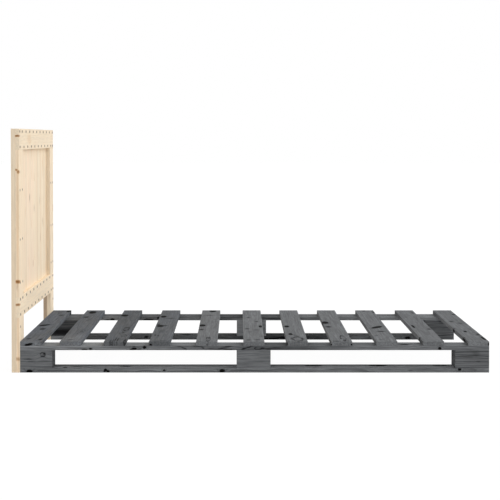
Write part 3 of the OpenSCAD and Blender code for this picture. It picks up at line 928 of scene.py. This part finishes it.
    def late_wood(self, point: NodeSocket, stock: NodeSocket, knot: NodeSocket | None) -> NodeSocket:
        """Draw the growth rings about a pith outside the board.

        The rings are 4 to 12 mm apart where real ones are 2 to 4 mm, because finer ones blur away at
        the size of the render.

        Args:
            point: The point in millimetres.
            stock: The point in the log's own noise.
            knot: Distance from the nearest knot, which the rings flow round.

        Returns:
            How much of the darker late wood there is.
        """
        _, width, thickness = self.board.size
        side = self.draw.choice((-1, 1))
        pith = (0, self.draw.uniform(-0.3, 0.3) * width, side * (thickness + self.draw.uniform(20, 70)))
        rise = side * self.draw.uniform(1.0, 2.2)
        swing = self.draw.uniform(-1.2, 1.2)
        lean = (0, math.radians(rise), math.radians(swing))
        settings = {"vector_type": "TEXTURE", "Location": pith, "Rotation": lean}
        from_pith = add_node(self.tree, "Mapping", settings, {"Vector": point}).outputs[0]
        flat = add_node(self.tree, "VectorMath", {"operation": "MULTIPLY", 1: (0, 1, 1)}, {0: from_pith})
        away = add_node(self.tree, "VectorMath", {"operation": "LENGTH"}, {0: flat.outputs[0]})
        bends = self.noise(stock, self.WANDER, 3.0)
        radius = self.times_plus(bends, self.WANDER_REACH, away.outputs["Value"])
        if knot is not None:
            radius = self.times_plus(self.band(knot, 3.2, 0.0), self.timber.swirl, radius)
        rings = self.times_plus(radius, 1 / self.timber.ring_width, 0.0)
        # Good and bad years make some rings wider than others.
        years = add_node(self.tree, "TexNoise", {"noise_dimensions": "1D", "Scale": 0.6, "Detail": 1.0},
                         {"W": rings})
        rings = self.times_plus(years.outputs[0], 1.6, rings)
        share = add_node(self.tree, "Math", {"operation": "FRACT"}, {0: rings}).outputs[0]
        year = add_node(self.tree, "Math", {"operation": "FLOOR"}, {0: rings}).outputs[0]
        # Each year's late wood is as dark as its autumn was long. It ends in a sharp edge.
        luck = add_node(self.tree, "TexWhiteNoise", {"noise_dimensions": "1D"}, {"W": year}).outputs["Value"]
        line = self.product(self.band(share, 0.3, 0.88), self.band(share, 0.9, 1.0, 1.0, 0.0))
        return self.product(line, self.times_plus(luck, 0.75, 0.25))

    def product(self, value: NodeSocket, other: NodeSocket) -> NodeSocket:
        """Multiply two values, and keep the product from 0 to 1."""
        settings = {"operation": "MULTIPLY", "use_clamp": True}
        return add_node(self.tree, "Math", settings, {0: value, 1: other}).outputs[0]

    def ovals(self, far: NodeSocket, count: int, luck: NodeSocket) -> NodeSocket:
        """Draw thin, broken ovals about a knot, the last one at its rim.

        Args:
            far: Distance from the knot's middle, in knot radii.
            count: Number of ovals.
            luck: Noise that breaks them.

        Returns:
            How much of a line there is.
        """
        phase = self.times_plus(far, float(count), 0.0)
        share = add_node(self.tree, "Math", {"operation": "FRACT"}, {0: phase}).outputs[0]
        line = self.product(self.band(share, 0.4, 0.8), self.band(share, 1.0, 0.84))
        broken = self.product(line, self.band(luck, 0.36, 0.54, 0.1, 1.0))
        return self.product(broken, self.band(far, 1.3, 1.0))

    def knotted(self, colour: NodeSocket, point: NodeSocket, wavy: NodeSocket,
                curly: NodeSocket) -> NodeSocket:
        """Lay every knot and mark of the board over its colour.

        Args:
            colour: The colour of the clear wood.
            point: The point in millimetres, a little shaken so that the knots are uneven.
            wavy: The same point, shaken more, for the streaks that wander with the grain.
            curly: The same point, shaken most, for the rings that close round a branch.

        Returns:
            The colour with the knots.
        """
        luck = self.noise(point, self.BREAKS, 1.0)
        places = {KnotKind.STREAK: wavy, KnotKind.SWIRL: curly}
        for knot in self.timber.knots:
            far = self.far_from(knot, places.get(knot.kind, point))
            for start, full, share, tint in self.finish.coats(knot.kind):
                cover = self.band(far, start, full, 0.0, min(1.0, share * knot.share))
                colour = self.mixed(cover, colour, tint)
            if knot.kind in (KnotKind.LIVE, KnotKind.SWIRL):
                count = knot.rings if knot.kind is KnotKind.SWIRL else 1
                line = self.times_plus(self.ovals(far, count, luck), min(1.0, 0.9 * knot.share), 0.0)
                colour = self.mixed(line, colour, self.finish.knot_rim)
        return colour

    def stained(self, colour: NodeSocket, point: NodeSocket) -> NodeSocket:
        """Darken the wood close round each screw head, farther along the grain than across it: a stain of
        pressed fibres, and painted shade of the countersink.

        Args:
            colour: The colour of the wood.
            point: The point in millimetres.

        Returns:
            The colour with the stains.
        """
        squeeze = Vector((1 / self.timber.screw_creep, 1, 1))
        squeezed = add_node(self.tree, "VectorMath", {"operation": "MULTIPLY", 1: squeeze}, {0: point})
        distances = []
        for head in self.board.screws:
            settings = {"operation": "DISTANCE", 1: head * squeeze}
            apart = add_node(self.tree, "VectorMath", settings, {0: squeezed.outputs[0]})
            distances.append(apart.outputs["Value"])
        near = self.nearest(distances)
        if near is None:
            return colour
        # The ring is partly a stain of pressed fibres and partly painted shade of the countersink.
        cover = self.band(near, *self.SCREW_STAIN_AND_SHADE, 0.0, self.finish.screw_stain_and_shade)
        return self.mixed(cover, colour, self.finish.dead_knot)

    def mixed(self, share: NodeSocket, colour: NodeSocket, other: str) -> NodeSocket:
        """Lay a plain colour over another by a share.

        Args:
            share: How much of the plain colour there is.
            colour: The colour below.
            other: The plain colour.

        Returns:
            The mixture.
        """
        mix = add_node(self.tree, "Mix", {"data_type": "RGBA", 7: linear(other)}, {0: share, 6: colour})
        return mix.outputs[2]

    def end_grain(self) -> NodeSocket:
        """Tell the sawn ends from the planed faces."""
        normal = add_node(self.tree, "NewGeometry").outputs["Normal"]
        axis = self.board.world(Vector((1, 0, 0)))
        along = add_node(self.tree, "VectorMath", {"operation": "DOT_PRODUCT", 1: axis}, {0: normal})
        amount = add_node(self.tree, "Math", {"operation": "ABSOLUTE"}, {0: along.outputs["Value"]})
        return self.band(amount.outputs[0], 0.6, 0.9)

    def arris(self, point: NodeSocket) -> NodeSocket:
        """Find the eased edges along the board, where the finish is thinner and a painted highlight lightens
        them.
        """
        _, width, thickness = self.board.size
        split = add_node(self.tree, "SeparateXYZ", links={0: point})
        gaps = []
        for channel, half in ((1, width / 2), (2, thickness / 2)):
            apart = add_node(self.tree, "Math", {"operation": "ABSOLUTE"}, {0: split.outputs[channel]})
            gaps.append(self.times_plus(apart.outputs[0], -1.0, half))
        nearest = add_node(self.tree, "Math", {"operation": "MAXIMUM"}, {0: gaps[0], 1: gaps[1]})
        return self.band(nearest.outputs[0], 3.0, 0.3)

    def finished(self) -> Material:
        """Build the whole tree.

        Returns:
            The board's material.
        """
        finish = self.finish
        point = self.in_board_space()
        offset = Vector([self.draw.uniform(0, 4000) for _ in range(3)])
        stock = add_node(self.tree, "VectorMath", {"operation": "ADD", 1: offset}, {0: point}).outputs[0]
        shaken = self.shaken(point, stock, *self.UNEVEN)
        wavy = self.shaken(shaken, stock, *self.WAVY)
        curly = self.shaken(wavy, stock, *self.CURLY)
        round_knots = [knot for knot in self.timber.knots if knot.kind in (KnotKind.DEAD, KnotKind.LIVE)]
        bending = self.nearest([self.far_from(knot, point) for knot in round_knots])
        late = self.late_wood(point, stock, bending)
        blotch = self.noise(stock, self.BLOTCHES, 2.0)
        streaks = self.noise(stock, self.STREAKS, 3.0)
        fibre = self.noise(stock, self.FIBRE, 3.0)
        ends = self.end_grain()

        # A tinted board has some of the second colour everywhere, and more of it in patches.
        tint = self.times_plus(self.band(blotch, 0.35, 0.65), 0.7 * self.timber.tint, 0.3 * self.timber.tint)
        faces = {"data_type": "RGBA", 6: linear(finish.face), 7: linear(finish.tinted_face)}
        base = add_node(self.tree, "Mix", faces, {0: tint}).outputs[2]
        uneven = self.band(streaks, 0.3, 0.7, 0.5, 1.3)
        strength = self.times_plus(uneven, finish.ring_contrast * self.timber.figure, 0.0)
        colour = self.mixed(self.product(late, strength), base, finish.late_wood)
        colour = self.knotted(colour, shaken, wavy, curly)
        colour = self.stained(colour, point)

        # Each noise is about a half on average, so the tone alone sets the board's brightness.
        steady = (finish.streak_contrast + finish.fibre_contrast + finish.blotch_contrast) / 2
        shade = self.times_plus(streaks, finish.streak_contrast, 1.0 - steady)
        shade = self.times_plus(fibre, finish.fibre_contrast, shade)
        shade = self.times_plus(blotch, finish.blotch_contrast, shade)
        # The eased edges are lightened, partly as thinner finish and partly as a painted highlight.
        shade = self.times_plus(self.arris(point), finish.arris_wear_and_highlight, shade)
        shade = self.times_plus(ends, finish.end_shade - 1, shade)
        shade = self.times_plus(shade, self.timber.tone, 0.0)
        toned = add_node(self.tree, "VectorMath", {"operation": "SCALE"}, {0: colour, "Scale": shade})

        matt, mattest = finish.roughness
        rough = self.band(fibre, 0.3, 0.7, matt, mattest)
        dead_knots = [knot for knot in self.timber.knots if knot.kind is KnotKind.DEAD]
        dead = self.nearest([self.far_from(knot, shaken) for knot in dead_knots])
        if dead is not None:
            # The torn wood of a dead knot is rougher than the planed face.
            torn = self.band(dead, 1.15, 0.85)
            rough = add_node(self.tree, "Math", {"operation": "MAXIMUM"}, {0: rough, 1: torn}).outputs[0]
        relief = self.times_plus(fibre, 0.5, self.times_plus(late, 0.5, 0.0))
        bump = add_node(self.tree, "Bump", {"Strength": 0.35, "Distance": 0.0004}, {"Height": relief})
        wood = add_node(self.tree, "BsdfPrincipled", {"Specular IOR Level": finish.specular, "IOR": 1.5},
                        {"Base Color": toned.outputs[0], "Roughness": rough, "Normal": bump.outputs[0]})
        add_node(self.tree, "OutputMaterial", links={"Surface": wood.outputs[0]})
        return self.material


# Fasteners


@dataclass(frozen=True)
class SteelFinish:
    """Steel with a thin coat of crystals, whose grain is in millimetres."""

    name: str
    slot: str
    light: str
    dark: str
    metallic: float
    roughness: tuple[float, float]
    grain: float

    def material(self) -> Material:
        """Build the coat, whose crystals vary in tone and gloss."""
        material = bpy.data.materials.new(self.name)
        material.use_nodes = True
        tree = material.node_tree
        tree.nodes.clear()
        coordinates = add_node(tree, "TexCoord")
        cloud = add_node(tree, "TexNoise", {"Scale": 1 / (self.grain * MM), "Detail": 3.0},
                         {"Vector": coordinates.outputs["Object"]})
        share = add_node(tree, "MapRange", {1: 0.35, 2: 0.65}, {0: cloud.outputs[0]})
        colour = add_node(tree, "Mix", {"data_type": "RGBA", 6: linear(self.dark), 7: linear(self.light)},
                          {0: share.outputs[0]})
        smooth, rough = self.roughness
        gloss = add_node(tree, "MapRange", {1: 0.3, 2: 0.7, 3: smooth, 4: rough}, {0: cloud.outputs[0]})
        bump = add_node(tree, "Bump", {"Strength": 0.2, "Distance": 0.00005}, {"Height": cloud.outputs[0]})
        steel = add_node(tree, "BsdfPrincipled", {"Metallic": self.metallic},
                         {"Base Color": colour.outputs[2], "Roughness": gloss.outputs[0],
                          "Normal": bump.outputs[0]})
        add_node(tree, "OutputMaterial", links={"Surface": steel.outputs[0]})
        return material


# Carbon steel screws, phosphated and oiled: dark grey crystals that scatter light, hardly any gleam.
BLACK_PHOSPHATED_STEEL = SteelFinish(
    name="black_phosphated_steel", slot="black_screw_steel",
    light="#242120", dark="#121110", metallic=0.3, roughness=(0.5, 0.65), grain=0.4,
)

# Cold-headed coach screws and stamped washers, bright zinc plated: cool silver with a soft gleam.
ZINC_PLATED_STEEL = SteelFinish(
    name="zinc_plated_steel", slot="zinc_plated_steel",
    light="#c9ccd0", dark="#a9adb2", metallic=1.0, roughness=(0.28, 0.42), grain=1.5,
)


@dataclass(frozen=True)
class ScrewPlace:
    """Top of a screw's head on its axis, and the way that the screw points."""

    top: Vector
    aim: Vector

    def matrix(self, drop: float, twist: float = 0.0) -> Matrix:
        """Place a screw that points down Z.

        Args:
            drop: How far the screw's own origin lies beyond the top of the head.
            twist: Turn about its own axis.

        Returns:
            The placing matrix.
        """
        turn = self.aim.to_track_quat("-Z", "Y").to_matrix().to_4x4()
        return Matrix.Translation(self.top + self.aim * drop) @ turn @ Matrix.Rotation(twist, 4, "Z")


def screw_places(node: str) -> list[ScrewPlace]:
    """Find each screw or washer of a CAD node.

    Args:
        node: The node's name.

    Returns:
        Their places, sorted so that the order is always the same.
    """
    # How near the end of a screw, in millimetres, its corners count as that end
    end_reach = 1.0
    work = bmesh.new()
    work.from_mesh(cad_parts[node].data)
    bmesh.ops.remove_doubles(work, verts=work.verts, dist=WELD_GAP)
    waiting = set(work.verts)
    places = []
    while waiting:
        group = []
        edge = [waiting.pop()]
        while edge:
            vert = edge.pop()
            group.append(vert.co / MM)
            near = {e.other_vert(vert) for e in vert.link_edges} & waiting
            waiting -= near
            edge.extend(near)
        low = Vector([min(point[i] for point in group) for i in range(3)])
        high = Vector([max(point[i] for point in group) for i in range(3)])
        axis = max(range(3), key=lambda i: high[i] - low[i])
        middle = (low + high) / 2
        ends = []
        for end in (low[axis], high[axis]):
            flat = [point - middle for point in group if abs(point[axis] - end) < end_reach]
            for point in flat:
                point[axis] = 0
            ends.append(max(point.length for point in flat))
        head_is_high = ends[1] > ends[0]
        aim = Vector((0, 0, 0))
        aim[axis] = -1 if head_is_high else 1
        top = middle.copy()
        top[axis] = high[axis] if head_is_high else low[axis]
        places.append(ScrewPlace(top, aim))
    work.free()
    return sorted(places, key=lambda place: tuple(round(value, 2) for value in place.top))


@dataclass(frozen=True)
class DrilledHole:
    """A hole in the wood, in its place, and the middle of the screw head in it."""

    shape: Shape
    head: Vector

    def reaches(self, low: Vector, high: Vector) -> bool:
        """Tell whether the hole enters a board.

        Args:
            low: The board's lowest corner.
            high: Its highest corner.

        Returns:
            True where it does.
        """
        touch = 0.05
        for axis in range(3):
            values = [point[axis] for point in self.shape.points]
            if max(values) <= low[axis] + touch or min(values) >= high[axis] - touch:
                return False
        return True

    def enters(self, low: Vector, high: Vector) -> bool:
        """Tell whether the screw's head lies in a board, whose lowest and highest corners are given."""
        return all(low[axis] - 1 < self.head[axis] < high[axis] + 1 for axis in range(3))


@dataclass(frozen=True)
class WoodScrew:
    """Countersunk cross-head wood screw that enters a face at its own origin and points down Z."""

    thread_d: float
    head_d: float
    length: float
    head_sink: float = 0.5
    gap: float = 0.1
    sides: int = 20

    @property
    def cone(self) -> float:
        """Height of the countersunk head."""
        return (self.head_d - self.thread_d) / 2

    def recess(self) -> Shape:
        """Make the tapered cross of the screwdriver's seat."""
        arm = 0.30 * self.head_d
        half = 0.065 * self.head_d
        depth = 0.26 * self.head_d
        mouth = 0.2
        taper = 0.35
        cross = [(arm, half), (half, half), (half, arm), (-half, arm), (-half, half), (-arm, half),
                 (-arm, -half), (-half, -half), (-half, -arm), (half, -arm), (half, -half), (arm, -half)]
        return prism(cross, mouth - self.head_sink, -self.head_sink - depth, taper)

    def thread(self, start: float, root: float) -> Shape:
        """Wind the thread about the shank.

        Args:
            start: Depth at which it starts.
            root: Radius of the bare shank under it.

        Returns:
            The thread, a closed rib.
        """
        pitch = 0.5 * self.thread_d
        per_turn = 9
        # The rib's foot goes this far into the shank, and reaches this share of the pitch up and down.
        buried = 0.15
        foot = 0.22
        steps = int((self.length - self.thread_d * 0.6 - start) / pitch * per_turn)
        points = []
        for step in range(steps + 1):
            angle = 2 * math.pi * step / per_turn
            height = -start - pitch * step / per_turn
            full = min(1.0, step / per_turn, 0.15 + (steps - step) / per_turn)
            crest = root + full * (self.thread_d / 2 - root)
            for radius, shift in ((root - buried, foot), (crest, 0.0), (root - buried, -foot)):
                level = height + shift * pitch
                points.append(Vector((radius * math.cos(angle), radius * math.sin(angle), level)))
        faces: list[tuple[int, ...]] = [(0, 1, 2), (3 * steps + 2, 3 * steps + 1, 3 * steps)]
        for step in range(steps):
            for i in range(3):
                first = 3 * step + i
                second = 3 * step + (i + 1) % 3
                faces.append((first, second, second + 3, first + 3))
        return Shape(points, faces)

    def shape(self) -> Shape:
        """Make the whole screw: head with its cross, plain shank, threaded part and point."""
        root = 0.34 * self.thread_d
        neck = 0.43 * self.thread_d
        top = -self.head_sink
        start = max(self.head_sink + self.cone + 1, 0.35 * self.length)
        rim = self.head_d / 2 - 0.15
        blank = turned([(0, top), (rim, top), (rim - 0.05, top - 0.25), (neck, top - self.cone),
                        (neck, -start + 1), (root, -start), (root, self.thread_d - self.length),
                        (0, -self.length)], self.sides)
        return gathered([carved(blank, self.recess()), self.thread(start, root)])

    def hole(self) -> Shape:
        """Make the hole that the screw fills, open at the face that it enters."""
        bore = self.thread_d / 2 + self.gap
        head = self.head_d / 2 + self.gap
        return turned([(0, 1), (head, 1), (head, -self.head_sink), (bore, -self.head_sink - self.cone),
                       (bore, self.thread_d - self.length), (0, -self.length - self.gap)], self.sides)


@dataclass(frozen=True)
class CoachScrew:
    """Hexagonal coach screw with the underside of its head at the origin, pointing down Z."""

    thread_d: float = 8.0
    head_width: float = 13.0
    head_height: float = 5.3
    length: float = 90.0
    washer_d: float = 20.0
    washer_thickness: float = 1.6
    washer_gap: float = 0.4
    screw_gap: float = 0.1
    pocket_depth: float = 9.0
    head_sides: int = 48
    shank_sides: int = 24
    washer_sides: int = 40

    def shape(self) -> Shape:
        """Make the chamfered hexagonal head, the shank and its thread."""
        corner = self.head_width / 2 / math.cos(math.pi / 6)
        angles = [math.pi * i / 3 for i in range(6)]
        outline = [(corner * math.cos(angle), corner * math.sin(angle)) for angle in angles]
        top = self.head_height
        dome = turned([(0, top), (0.92 * self.head_width / 2, top), (corner + 0.3, top - 1.1),
                       (corner + 0.3, 0.3), (corner - 0.5, 0), (0, 0)], self.head_sides)
        head = carved(prism(outline, top, 0), dome, "INTERSECT")
        thread = WoodScrew(self.thread_d, self.head_width, self.length)
        neck = self.thread_d / 2 - 0.3
        root = 0.34 * self.thread_d
        start = 0.4 * self.length
        shank = turned([(0, 1), (neck, 1), (neck, -start + 1), (root, -start),
                        (root, self.thread_d - self.length), (0, -self.length)], self.shank_sides)
        return gathered([head, shank, thread.thread(start, root)])

    def washer(self) -> Shape:
        """Make the flat washer under the head, its edges broken by the stamping."""
        outer = self.washer_d / 2
        inner = self.thread_d / 2 + self.washer_gap
        down = -self.washer_thickness
        soft = 0.25
        section = [(inner, -soft), (inner + soft, 0), (outer - soft, 0), (outer, -soft),
                   (outer, down + soft), (outer - soft, down), (inner + soft, down), (inner, down + soft)]
        return turned(section, self.washer_sides, ring=True)

    def hole(self) -> Shape:
        """Make the pocket for head and washer, and the hole for the shank."""
        pocket = self.washer_d / 2 + self.washer_gap
        bore = self.thread_d / 2 + self.screw_gap
        floor = -self.washer_thickness
        mouth = self.pocket_depth - self.washer_thickness + 1
        bottom = -self.length - self.screw_gap
        return turned([(0, mouth), (pocket, mouth), (pocket, floor), (bore, floor), (bore, bottom),
                       (0, bottom)], self.washer_sides)


@dataclass
class Fasteners:
    """Every screw and washer of the bed, with the holes that they need."""

    board_screw: WoodScrew = WoodScrew(4.0, 8.0, 30.0)
    slat_screw: WoodScrew = WoodScrew(4.0, 8.0, 31.0)
    long_screw: WoodScrew = WoodScrew(6.0, 12.0, 127.0)
    block_screw: WoodScrew = WoodScrew(5.0, 10.0, 50.0)
    coach_screw: CoachScrew = CoachScrew()

    def kinds(self) -> dict[str, WoodScrew]:
        """Say which screw each CAD node holds."""
        return {
            "slat_screws": self.slat_screw,
            "long_block_screws": self.long_screw,
            "top_rail_screws": self.block_screw,
            "bottom_rail_screws": self.block_screw,
            "headboard_rail_screws": self.board_screw,
            "headboard_stile_screws": self.board_screw,
            "headboard_leg_screws": self.board_screw,
        }

    def holes(self) -> list[DrilledHole]:
        """List the holes of all screws."""
        found = []
        for node, screw in self.kinds().items():
            found += self.drilled(node, screw.hole(), -screw.head_sink)
        return found + self.drilled("coach_screws", self.coach_screw.hole(), self.coach_screw.head_height)

    def drilled(self, node: str, cutter: Shape, drop: float) -> list[DrilledHole]:
        """Put a hole at each screw of a CAD node.

        Args:
            node: The node's name.
            cutter: The hole's shape.
            drop: How far the screw's own origin lies beyond the top of the head.

        Returns:
            The holes.
        """
        return [DrilledHole(cutter.placed(place.matrix(drop)), place.top) for place in screw_places(node)]

    def build(self) -> list[Object]:
        """Make every group of screws and the washers.

        Returns:
            One piece for each CAD node.
        """
        black = BLACK_PHOSPHATED_STEEL.material()
        zinc = ZINC_PLATED_STEEL.material()
        pieces = []
        for node, screw in self.kinds().items():
            draw = random.Random(node)
            shape = screw.shape()
            placed = [shape.placed(place.matrix(-screw.head_sink, draw.uniform(0, math.pi / 2)))
                      for place in screw_places(node)]
            steel = gathered(placed)
            pieces.append(fit_piece(f"{node}_steel", steel, node, black))
        # Each washer lies with its screw, so both take the screws' own places.
        drop = self.coach_screw.head_height
        draw = random.Random("coach_screws")
        places = screw_places("coach_screws")
        for node, shape in (("coach_screws", self.coach_screw.shape()),
                            ("coach_screw_washers", self.coach_screw.washer())):
            placed = [shape.placed(place.matrix(drop, draw.uniform(0, math.pi / 3))) for place in places]
            pieces.append(fit_piece(f"{node}_steel", gathered(placed), node, zinc))
        return pieces


# Sub-assemblies


@dataclass
class SlattedBase:
    """Slats on two upper rails, six blocks and two runners, all stained grey."""

    slat_timber: tuple[Timber, ...] = SLAT_TIMBER
    timber: dict[str, Timber] = field(default_factory=lambda: dict(BASE_TIMBER))
    finish: PineFinish = GREY_STAINED_PINE
    edge_radius: float = 1.2

    def boards(self) -> list[Board]:
        """List the base's boards from head to foot and from the top down."""
        slats = [Board(f"slat_{n:02d}", Grain.SLAT, timber, self.finish, self.edge_radius)
                 for n, timber in enumerate(self.slat_timber, start=1)]
        rest = [Board(node, Grain.SIDE_RAIL, timber, self.finish, self.edge_radius)
                for node, timber in self.timber.items()]
        return slats + rest

    def build(self, holes: list[DrilledHole]) -> list[Object]:
        """Make every board of the base."""
        return [board.build(holes) for board in self.boards()]


@dataclass
class Headboard:
    """Two layers of natural pine boards: rails, stiles and legs in front, posts and panel behind."""

    timber: dict[str, Timber] = field(default_factory=lambda: dict(HEADBOARD_TIMBER))
    panel_timber: tuple[Timber, ...] = PANEL_TIMBER
    finish: PineFinish = NATURAL_PINE
    edge_radius: float = 1.2

    def boards(self) -> list[Board]:
        """List the headboard's boards, the front layer first."""
        framed = []
        for node, timber in self.timber.items():
            grain = Grain.HEADBOARD_RAIL if node.endswith("_rail") else Grain.UPRIGHT
            framed.append(Board(node, grain, timber, self.finish, self.edge_radius))
        panel = [Board(f"panel_board_{n}", Grain.UPRIGHT, timber, self.finish, self.edge_radius)
                 for n, timber in enumerate(self.panel_timber, start=1)]
        return framed + panel

    def build(self, holes: list[DrilledHole]) -> list[Object]:
        """Make every board of the headboard."""
        return [board.build(holes) for board in self.boards()]


@dataclass
class Studio:
    """White floor and surroundings, soft light and the camera.

    The eye and the floor are in metres, the focal length in millimetres, and the pitch in degrees
    below the level.
    """

    eye: tuple[float, float, float] = (-0.053, -5.382, 0.999)
    pitch: float = 1.2
    focal_length: float = 83.62
    shift: tuple[float, float] = (0.024, -0.1748)
    floor_size: float = 80.0
    floor_colour: str = "#f2f2f2"
    shadow_share: float = 0.12
    floor_glow: float = 1.07
    ambient: float = 0.30

    def seen_directly(self, tree: NodeTree) -> NodeSocket:
        """Tell what the camera sees, also in a gloss or through glass, from what lights the bed."""
        path = add_node(tree, "LightPath")
        camera = path.outputs["Is Camera Ray"]
        glossy = path.outputs["Is Glossy Ray"]
        through = path.outputs["Is Transmission Ray"]
        either = add_node(tree, "Math", {"operation": "MAXIMUM"}, {0: camera, 1: glossy}).outputs[0]
        return add_node(tree, "Math", {"operation": "MAXIMUM"}, {0: either, 1: through}).outputs[0]

    def surroundings(self) -> None:
        """Light the bed evenly from all round, and show plain white behind it."""
        world = bpy.data.worlds.new("white_studio")
        bpy.context.scene.world = world
        world.use_nodes = True
        tree = world.node_tree
        tree.nodes.clear()
        strength = add_node(tree, "MapRange", {3: self.ambient, 4: 1.0}, {0: self.seen_directly(tree)})
        light = add_node(tree, "Background", {"Color": linear("#ffffff")}, {"Strength": strength.outputs[0]})
        add_node(tree, "OutputWorld", links={"Surface": light.outputs[0]})

    def floor(self) -> None:
        """Lay a matt white floor that keeps a faint shadow of the bed."""
        half = self.floor_size / 2
        corners = [(-half, -half, 0), (half, -half, 0), (half, half, 0), (-half, half, 0)]
        mesh = bpy.data.meshes.new("studio_floor")
        mesh.from_pydata(corners, [], [(0, 1, 2, 3)])
        material = bpy.data.materials.new("matt_white_studio_paint")
        material.use_nodes = True
        tree = material.node_tree
        tree.nodes.clear()
        paint = add_node(tree, "BsdfDiffuse", {"Color": linear(self.floor_colour)})
        white = add_node(tree, "Emission", {"Color": linear("#ffffff"), "Strength": self.floor_glow})
        share = add_node(tree, "Math", {"operation": "MULTIPLY", 1: 1 - self.shadow_share},
                         {0: self.seen_directly(tree)})
        links = {0: share.outputs[0], 1: paint.outputs[0], 2: white.outputs[0]}
        both = add_node(tree, "MixShader", links=links)
        add_node(tree, "OutputMaterial", links={"Surface": both.outputs[0]})
        mesh.materials.append(material)
        floor = bpy.data.objects.new("studio_floor", mesh)
        bpy.context.scene.collection.objects.link(floor)

    def lamp(self, name: str, strength: float, softness: float, aim: tuple[float, float, float]) -> None:
        """Hang one large soft lamp.

        Args:
            name: Its name.
            strength: Its strength, at which 3.14 lights a facing surface fully.
            softness: The angle in degrees over which its light comes.
            aim: The direction in which its light falls.
        """
        light = bpy.data.lights.new(name, "SUN")
        light.energy = strength
        light.angle = math.radians(softness)
        lamp = bpy.data.objects.new(name, light)
        lamp.rotation_euler = Vector(aim).to_track_quat("-Z", "Y").to_euler()
        bpy.context.scene.collection.objects.link(lamp)

    def lamps(self) -> None:
        """Hang the lamps: above, beyond the foot towards the headboard's face, and on the camera's side."""
        self.lamp("top_light", 0.55, 70, (-0.15, 0.1, -1))
        self.lamp("foot_light", 1.9, 80, (-1, 0, -0.5))
        self.lamp("front_light", 0.9, 60, (0.5, 1, -0.35))

    def camera(self) -> None:
        """Set up the camera.

        It looks only a little below the level, so that the bed's uprights stay upright, and its frame
        is shifted down to hold the bed.
        """
        lens = bpy.data.cameras.new("camera")
        lens.lens = self.focal_length
        lens.shift_x, lens.shift_y = self.shift
        camera = bpy.data.objects.new("camera", lens)
        camera.location = self.eye
        camera.rotation_euler = (math.radians(90 - self.pitch), 0, 0)
        bpy.context.scene.collection.objects.link(camera)
        bpy.context.scene.camera = camera

    def build(self) -> None:
        """Set up the whole studio."""
        bpy.context.scene.view_settings.view_transform = "Standard"
        self.surroundings()
        self.floor()
        self.lamps()
        self.camera()


def main() -> None:
    """Build the bed and its studio, and report each piece."""
    logging.basicConfig(level=logging.INFO, format="%(message)s")
    fasteners = Fasteners()
    holes = fasteners.holes()
    pieces = SlattedBase().build(holes) + Headboard().build(holes) + fasteners.build()
    for piece in pieces:
        LOG.info("%s: %d faces", piece.name, len(piece.data.polygons))
    Studio().build()


if __name__ == "__main__":
    main()
